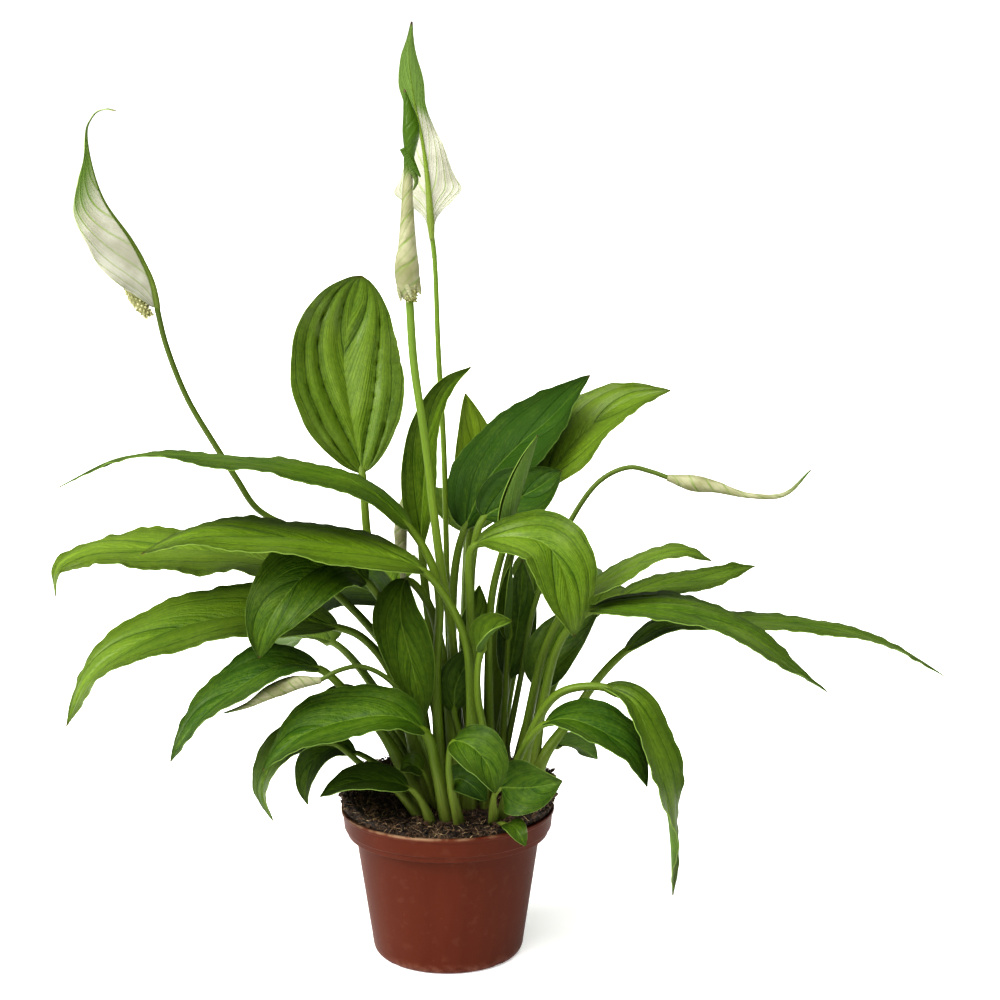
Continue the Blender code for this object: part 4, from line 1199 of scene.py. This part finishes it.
def crumb_patterns():
    """Four broken lumps of peat, each a small ball pushed out of shape."""
    made = []
    for index in range(4):
        deselect()
        bpy.ops.mesh.primitive_ico_sphere_add(subdivisions=1, radius=1.0 * MM)
        crumb = bpy.context.active_object
        for vertex in crumb.data.vertices:
            place = vertex.co / MM
            vertex.co *= 1.0 + 0.55 * noise.noise(place * 1.3 + Vector((index * 7.0, 0, 0)))
            vertex.co.z *= 0.75
        made.append(crumb)
    return made


def on_peat(rng, count, rim_share):
    """Random places on the peat as (x, y, z); rim_share of them crowd the edge at the left and right."""
    places = []
    while len(places) < count:
        if rng.random() < rim_share:
            angle = rng.choice([rng.normal(math.pi, 0.5), rng.normal(0.1, 0.5)])
            radius = rng.uniform(50.0, 57.0)
        else:
            angle = rng.uniform(-math.pi, math.pi)
            radius = CRUMB_REACH * math.sqrt(rng.random())
        x = radius * math.cos(angle)
        y = radius * math.sin(angle)
        z = float(peat_height(x, y))
        if radius > 55.0 and abs(x) > 40.0:
            x = (CRUMB_REACH + 0.1) * math.cos(angle)
            y = (CRUMB_REACH + 0.1) * math.sin(angle)
            z = rng.uniform(SOIL_EDGE + 1.0, max(z, SOIL_EDGE + 2.0))
        over = float(overhang(z, radius, 0.046))
        places.append((x * over, y * over, z))
    return places


def make_crumbs(peat):
    rng = np.random.default_rng(11)
    places = []
    for x, y, z in on_peat(rng, CRUMBS, 0.3):
        size = rng.uniform(0.35, 1.0) if rng.random() < 0.85 else rng.uniform(1.0, 2.2)
        matrix = (
            Matrix.Translation((x, y, z + rng.uniform(-0.3, 1.0)))
            @ Matrix.Rotation(rng.uniform(0, math.tau), 4, "Z")
            @ Matrix.Rotation(rng.uniform(0, math.tau), 4, "X")
            @ Matrix.Diagonal((size * rng.uniform(0.8, 1.5), size, size * rng.uniform(0.6, 1.0), 1.0)))
        places.append((int(rng.integers(4)), matrix, rng.uniform(0.0, 1.0)))
    made = copies("peat_crumbs", crumb_patterns(), places)
    made.data.materials.append(peat)
    return made


def make_fibres(fibre):
    """Short bent threads of four kinds, strewn over the peat."""
    rng = np.random.default_rng(5)
    patterns = []
    for index in range(4):
        bend = rng.uniform(-0.35, 0.35, (3, 2))
        route = [(-0.5, *bend[0] * 0.3), (-0.17, *bend[1] * 0.5), (0.17, *bend[2] * 0.5), (0.5, 0.0, 0.0)]
        run = Run(np.array(route) * 10.0)
        strand = tube(f"strand_{index}", run, lambda d: 0.5 * np.ones(len(d)), (0.02, 0.1, 1.0), 3, 1.6)
        patterns.append(strand)
    places = []
    for x, y, z in on_peat(rng, FIBRES, 0.35):
        length = rng.uniform(0.15, 0.5) if rng.random() < 0.85 else rng.uniform(0.5, 1.1)
        thick = rng.uniform(0.2, 0.5)
        matrix = (
            Matrix.Translation((x, y, z + rng.uniform(0.4, 1.7)))
            @ Matrix.Rotation(rng.uniform(0, math.tau), 4, "Z")
            @ Matrix.Rotation(rng.normal(0, 1.0 if abs(x) > 50.0 else 0.45), 4, "Y")
            @ Matrix.Diagonal((length, thick, thick, 1.0)))
        places.append((int(rng.integers(4)), matrix, rng.beta(2.0, 1.6)))
    made = copies("peat_strands", patterns, places)
    made.data.materials.append(fibre)
    return made


# ---------------------------------------------------------------- plant


def grounded(route, radius):
    """The route with its first station just above the peat, clear of it where the stalk leans."""
    x, y = route[0]
    base = np.array([x, y, float(soil_height(x, y))])
    first = unit(np.array(route[1]) - base)
    lean = math.hypot(first[0], first[1])
    return [(x, y, base[2] + ROOT_GAP + radius * (lean + SOIL_SLOPE)), *route[1:]]


def leaf_outline(part, widest, taper):
    """Half width along a blade as a share of the widest: a rounded base and a drawn-out tip."""
    fullness = taper * widest / (1.0 - widest)
    return (part / widest) ** fullness * ((1.0 - part) / (1.0 - widest)) ** taper


def make_blade(name, run, leaf, look, start, rng):
    """A blade from the station where it starts to the tip, as a sheet without its thickness."""
    length = run.length - start
    made, across, part = new_grid(name, BLADE_COLUMNS, max(14, int(length / ROW_SPACING)))
    across = np.sign(across) * np.abs(across) ** 1.15
    away = np.abs(across)
    distance = part * length
    half = np.maximum(0.25, leaf.width / 2 * leaf_outline(np.clip(part, 0.0, 1.0), leaf.widest, look.taper))
    half = np.maximum(half, 1.1 * (1.0 - smooth(part, 0.0, 0.05)))
    phases = rng.uniform(0.0, math.tau, 6)

    def swing(period, phase):
        return np.sin(distance / period + phase)

    def swell(period, phase, least=0.5):
        return least + 0.5 * swing(period, phase)

    ripple = swing(9.5, phases[0]) + 0.7 * swing(4.3, phases[1])
    crinkle = swing(2.3, phases[2] * 3 + across) * swell(12.0, phases[3])
    crinkle = crinkle + 0.5 * swing(1.35, phases[4] + 2 * across)
    half = half * (1.0 + (0.012 * ripple + 0.008 * crinkle) * away)
    vein = (part - look.sweep * (0.6 * away + 0.9 * away**3)) / look.panel + 0.3 * across
    size = min(1.0, leaf.width / 40.0)
    inside = smooth(away, 0.02, 0.2) * (1.0 - smooth(away, 0.55, 0.98))
    ends = smooth(part, 0.01, 0.14) * (1.0 - smooth(part, 0.78, 1.0))
    pleats = look.pleat * size * (np.abs(np.sin(math.pi * vein)) ** 0.65 - 0.65) * inside * ends
    phase = np.where(across > 0, phases[2], phases[3])
    wave = swing(10.5, phase) * swell(23.0, phases[4], 0.75)
    wave = wave + 0.5 * swing(6.3, phase * 2) * swell(17.0, phases[5])
    wave = wave * look.wave * size * away**2.4 + 0.42 * math.sqrt(look.wave) * size * crinkle * away**6
    wave = wave * smooth(part, 0.05, 0.25) * (1.0 - smooth(part, 0.86, 1.0))
    groove = 0.75 * size * (1.0 - 0.6 * part) * np.exp(-((across * half / 1.3) ** 2))
    lift = pleats + wave - groove * smooth(part, 0.0, 0.08)
    fold_up(made, run.frame(start + distance, turning_face(leaf, part)), across, half, lift, leaf)
    note(made, tone=look.tone, shine=look.shine, margin=away, lateral=across * half, reach=part, vein=vein)
    return made


def make_leaf(name, leaf, finishes, seed):
    """A blade with its thickness, joined to the stalk that runs on below it as the midrib."""
    upper, under, stalk_green = finishes
    look = LEAF_LOOKS.get(name, Look())
    run = Run(grounded(leaf.route, leaf.stalk / 2))
    start = run.marks[leaf.blade_at]
    blade = make_blade(f"blade_{name}", run, leaf, look, start, np.random.default_rng(seed))
    blade.data.materials.append(upper)
    blade.data.materials.append(under)
    thicken(blade, BLADE_THICKNESS, 1)
    stem = leaf.stalk / 2 * STALK_FULLNESS
    end = start + (run.length - start) * 0.93

    def on_rib(distance):
        return np.clip((distance - start) / (end - start), 0.0, 1.0)

    def radii(distance):
        petiole = stem * (1.0 - 0.24 * np.clip(distance / start, 0.0, 1.0))
        rib = on_rib(distance)
        return petiole * (1.0 - 0.78 * smooth(rib, 0.0, 0.3)) * (1.0 - 0.6 * rib)

    def drop(distance):
        rib = on_rib(distance)
        return (radii(distance) * 0.9 + 0.35) * smooth(rib, 0.0, 0.06) * (1.0 - 0.3 * rib)

    def shape(distance, angle):
        low = np.exp(-((np.maximum(distance, 0.0) / (0.42 * start)) ** 2))
        sheath = 1.0 + 0.18 * low + 0.5 * low * np.abs(np.cos(angle)) ** 2
        return sheath * (1.0 - 0.16 * np.maximum(0.0, np.sin(angle)) ** 4)

    stalk = tube(f"stem_{name}", run, radii, leaf.face_base, 12, 3.2, -ROOT_DEPTH, end, shape, drop)
    stalk.data.materials.append(stalk_green)
    made = joined(f"fine_{name}", blade, stalk)
    shade(made, 65.0)
    keep(made, name)


def make_stalk(name, stalk, finish, seed):
    """A flower stalk from below the peat up into its bud or spathe."""
    route, base, top = stalk
    run = Run(grounded(route, base / 2))
    phases = np.random.default_rng(seed).uniform(0.0, math.tau, 3)

    def radii(distance):
        part = np.clip(distance / run.length, 0.0, 1.0)
        flare = 0.25 * np.exp(-((distance / 9.0) ** 2))
        return (base + (top - base) * part) / 2 * (1.0 + 0.03 * np.sin(distance / 21.0 + phases[0]) + flare)

    def shape(distance, angle):
        return 1.0 + 0.025 * np.sin(angle * 5.0 + phases[1] + distance / 60.0)

    made = tube(f"fine_{name}", run, radii, (0.1, -1.0, 0.02), 20, 2.5, -ROOT_DEPTH, run.length + 3.0, shape)
    made.data.materials.append(finish)
    shade(made)
    keep(made, name)


def make_spathe(name, spathe, cream, stalk_green):
    """An open spathe with frilled margins and its raised midrib, which runs down into the stalk."""
    greening, frill, rib_radius = SPATHE_LOOKS[name]
    run = Run(spathe.route)
    made, across, part = new_grid(f"fine_{name}", 40, int(run.length / 1.1))
    away = np.abs(across)
    half = eased(part, spathe.widths)
    phase = np.where(across > 0, 0.4, 2.3)
    wave = frill * away**3 * np.sin(part * run.length / 5.2 + phase) * smooth(part, 0.02, 0.12)
    wave = wave * (1.0 - smooth(part, 0.45, 0.6))
    vein = (part - 0.42 * (0.7 * away + 0.5 * away**3)) / 0.14 + 0.25 * across
    pleats = 0.5 * (np.abs(np.sin(math.pi * vein)) ** 0.7 - 0.6) * smooth(away, 0.05, 0.3)
    lift = wave + pleats * np.minimum(1.0, half / 12.0)
    fold_up(made, run.frame(part * run.length, turning_face(spathe, part)), across, half, lift, spathe)
    green = eased(part, greening) + 0.4 * away * smooth(part, 0.36, 0.55)
    note(made, margin=away, lateral=across * half, reach=part, vein=vein, green=np.clip(green, 0.0, 1.0))
    made.data.materials.append(cream)
    thicken(made, 0.6)

    def radii(distance):
        rib = np.clip(distance / run.length, 0.0, 1.0)
        return (rib_radius * (1.0 - rib) ** 2.0 + 0.2) * (0.6 + 0.4 * smooth(distance, -9.0, 4.0))

    def drop(distance):
        return radii(distance) * 0.7

    rib = tube(f"rib_{name}", run, radii, spathe.face_base, 12, 2.0, -9.0, run.length * 0.98, drop=drop)
    rib.data.materials.append(stalk_green)
    made = joined(f"fine_{name}", made, rib)
    shade(made)
    keep(made, name)


def make_bud(name, bud, finish):
    """A spathe still rolled up: a spindle with one wound step where its edge lies."""
    greening, turns = BUD_LOOKS[name]
    run = Run(bud.route)

    def radii(distance):
        return eased(np.clip(distance / run.length, 0.0, 1.0), bud.radii)

    def shape(distance, angle):
        wound = (angle / math.tau + distance / run.length * turns) % 1.0
        return 0.94 + 0.13 * smooth(wound, 0.0, 0.9) * (1.0 - smooth(wound, 0.93, 1.0))

    made = tube(f"fine_{name}", run, radii, (0.1, -1.0, 0.05), 40, 0.9, -1.5, run.length, shape)
    reach = np.empty(len(made.data.vertices))
    made.data.attributes["reach"].data.foreach_get("value", reach)
    note(made, green=np.clip(eased(reach, greening), 0.0, 1.0))
    made.data.materials.append(finish)
    shade(made)
    keep(made, name)


def make_bud_folds(name, node, folds, finish):
    """The free edges of a rolled spathe: (route, half width, how green) for each small turned-back flap."""
    pieces = []
    for index, (route, width, greenness) in enumerate(folds):
        run = Run(route)
        made, across, part = new_grid(f"{name}_{index}", 8, 14)
        centre, side, up = run.frame(part * run.length, (0.3, -1.0, 0.0))
        half = width * np.clip(1.02 - part, 0.02, 1.0) ** 0.7
        curl = np.abs(across) ** 2 * half * 0.6
        put(made, centre + side * (across * half)[:, None] - up * curl[:, None])
        note(made, green=greenness, reach=part * 0.9, across=across, front=np.abs(across), rise=part)
        made.data.materials.append(finish)
        thicken(made, 0.5)
        pieces.append(made)
    made = joined(f"fine_{name}", *pieces)
    shade(made)
    keep(made, node)


def make_spadix(name, node, spadix, finish, seed, palest=1.0):
    """A spindle crowded with florets, each a small lobed knob."""
    rng = np.random.default_rng(seed)
    run = Run(spadix.route)

    def radii(distance):
        return eased(np.clip(distance / run.length, 0.0, 1.0), spadix.radii) * 0.86

    core = tube(f"core_{name}", run, radii, (0.1, -1.0, 0.05), 16, 2.0)
    note(core, tone=0.15)
    deselect()
    bpy.ops.mesh.primitive_ico_sphere_add(subdivisions=2, radius=1.0 * MM)
    knob = bpy.context.active_object
    for vertex in knob.data.vertices:
        vertex.co *= 1.0 + 0.25 * noise.noise(vertex.co / MM * 1.8)
    count = int(run.length * 4.2)
    distance = (np.arange(count) + 0.5) / count * run.length
    centre, side, up = run.frame(distance, (0.1, -1.0, 0.05))
    radius = radii(distance)
    places = []
    for index in range(count):
        angle = index * GOLDEN_ANGLE
        out = side[index] * math.cos(angle) + up[index] * math.sin(angle)
        size = rng.uniform(0.62, 0.9)
        matrix = (
            Matrix.Translation(Vector(centre[index] + out * (radius[index] + 0.25)))
            @ Vector((0, 0, 1)).rotation_difference(Vector(out)).to_matrix().to_4x4()
            @ Matrix.Rotation(rng.uniform(0, math.tau), 4, "Z")
            @ Matrix.Diagonal((size, size * 0.9, size * 1.1, 1.0)))
        places.append((0, matrix, palest * rng.uniform(0.25, 1.0)))
    florets = copies(f"florets_{name}", [knob], places)
    for piece in (core, florets):
        piece.data.materials.append(finish)
    made = joined(f"fine_{name}", florets, core)
    shade(made)
    keep(made, node)


# ---------------------------------------------------------------- studio


def make_studio():
    """A pale floor in a room that is paler to the left, lit by soft windows and a skylight.

    The room is plain white where the camera sees it.
    """
    world = bpy.data.worlds.new("pale_room")
    bpy.context.scene.world = world
    world.use_nodes = True
    room = Nodes(world.node_tree)
    walls = room.tree.nodes["Background"]
    toward = room.add("ShaderNodeTexCoord", output="Generated")
    pale = room.add("ShaderNodeVectorMath", {"operation": "DOT_PRODUCT"}, {0: toward, 1: PALE_SIDE}, "Value")
    stops = [(0.0, (DIM_WALL,) * 3), (0.9, (PALE_WALL,) * 3)]
    shades = room.add("ShaderNodeValToRGB", {"stops": stops}, {"Fac": pale + 0.4}, "Color")
    room.join(shades, walls.inputs["Color"])
    white = room.add("ShaderNodeBackground", {}, {"Color": (1.0, 1.0, 1.0)})
    seen = room.add("ShaderNodeLightPath", output="Is Camera Ray")
    choice = room.add("ShaderNodeMixShader", {}, {0: seen, 1: Value(room, walls.outputs[0]), 2: white})
    room.join(choice, room.tree.nodes["World Output"].inputs["Surface"])
    deselect()
    bpy.ops.mesh.primitive_plane_add(size=40.0)
    floor = bpy.context.active_object
    floor.name = "studio_floor"
    paper = Finish("pale_floor", 0.0)
    paper.set("Base Color", (0.93, 0.93, 0.93))
    paper.set("Roughness", 0.9)
    paper.set("Emission Color", (1.0, 1.0, 1.0))
    paper.set("Emission Strength", FLOOR_GLOW)
    floor.data.materials.append(paper.material)
    for name, azimuth, elevation, spread, power in WINDOWS:
        deselect()
        bpy.ops.object.light_add(type="SUN", location=(0.0, 0.0, 2.0))
        lamp = bpy.context.active_object
        lamp.name = name
        lamp.data.angle = math.radians(spread)
        lamp.data.energy = power
        turn = math.radians(azimuth)
        climb = math.radians(elevation)
        level = math.cos(climb)
        toward = Vector((level * math.sin(turn), -level * math.cos(turn), math.sin(climb)))
        lamp.rotation_euler = toward.to_track_quat("Z", "Y").to_euler()
    bpy.context.scene.view_settings.view_transform = "Standard"
    bpy.context.scene.view_settings.look = "High Contrast"


def make_camera():
    data = bpy.data.cameras.new("camera")
    camera = bpy.data.objects.new("camera", data)
    bpy.context.scene.collection.objects.link(camera)
    data.lens = CAMERA_LENS
    data.sensor_width = 36.0
    data.clip_start = 0.01
    camera.location = CAMERA_PLACE
    camera.rotation_euler = (math.radians(90.0 - CAMERA_DIP), 0.0, 0.0)
    bpy.context.scene.camera = camera


def main():
    deselect()
    make_camera()
    make_studio()
    plastic = plastic_finish()
    peat = peat_finish()
    upper = leaf_side("leaf_upper_side", UPPER_GREENS, True)
    under = leaf_side("leaf_underside", UNDER_GREENS, False)
    stems = {name: stem_finish(name, *greens) for name, greens in STEM_GREENS.items()}
    cream = spathe_finish()
    rolled = bud_finish()
    florets = spadix_finish()
    keep(make_pot(plastic), "pot")
    keep(make_peat(peat), "soil")
    keep(make_crumbs(peat), "soil")
    keep(make_fibres(fibre_finish()), "soil")
    for seed, (name, leaf) in enumerate(LEAVES.items()):
        make_leaf(name, leaf, (upper, under, stems["leaf_stalk"]), seed)
    for seed, (name, stalk) in enumerate(STALKS.items()):
        make_stalk(name, stalk, stems["old_flower_stalk" if name in OLD_STALKS else "flower_stalk"], seed)
    for name, spathe in SPATHES.items():
        make_spathe(name, spathe, cream, stems["old_flower_stalk" if "left" in name else "flower_stalk"])
    for name, bud in BUDS.items():
        make_bud(name, bud, rolled)
    for seed, (name, spadix) in enumerate(SPADICES.items()):
        make_spadix(name, name, spadix, florets, seed)
    make_spadix("bud_florets", "bud_centre", BUD_FLORETS, florets, 7, 0.3)
    make_bud_folds("bud_folds", "bud_centre", BUD_FOLDS, rolled)
    deselect()


main()
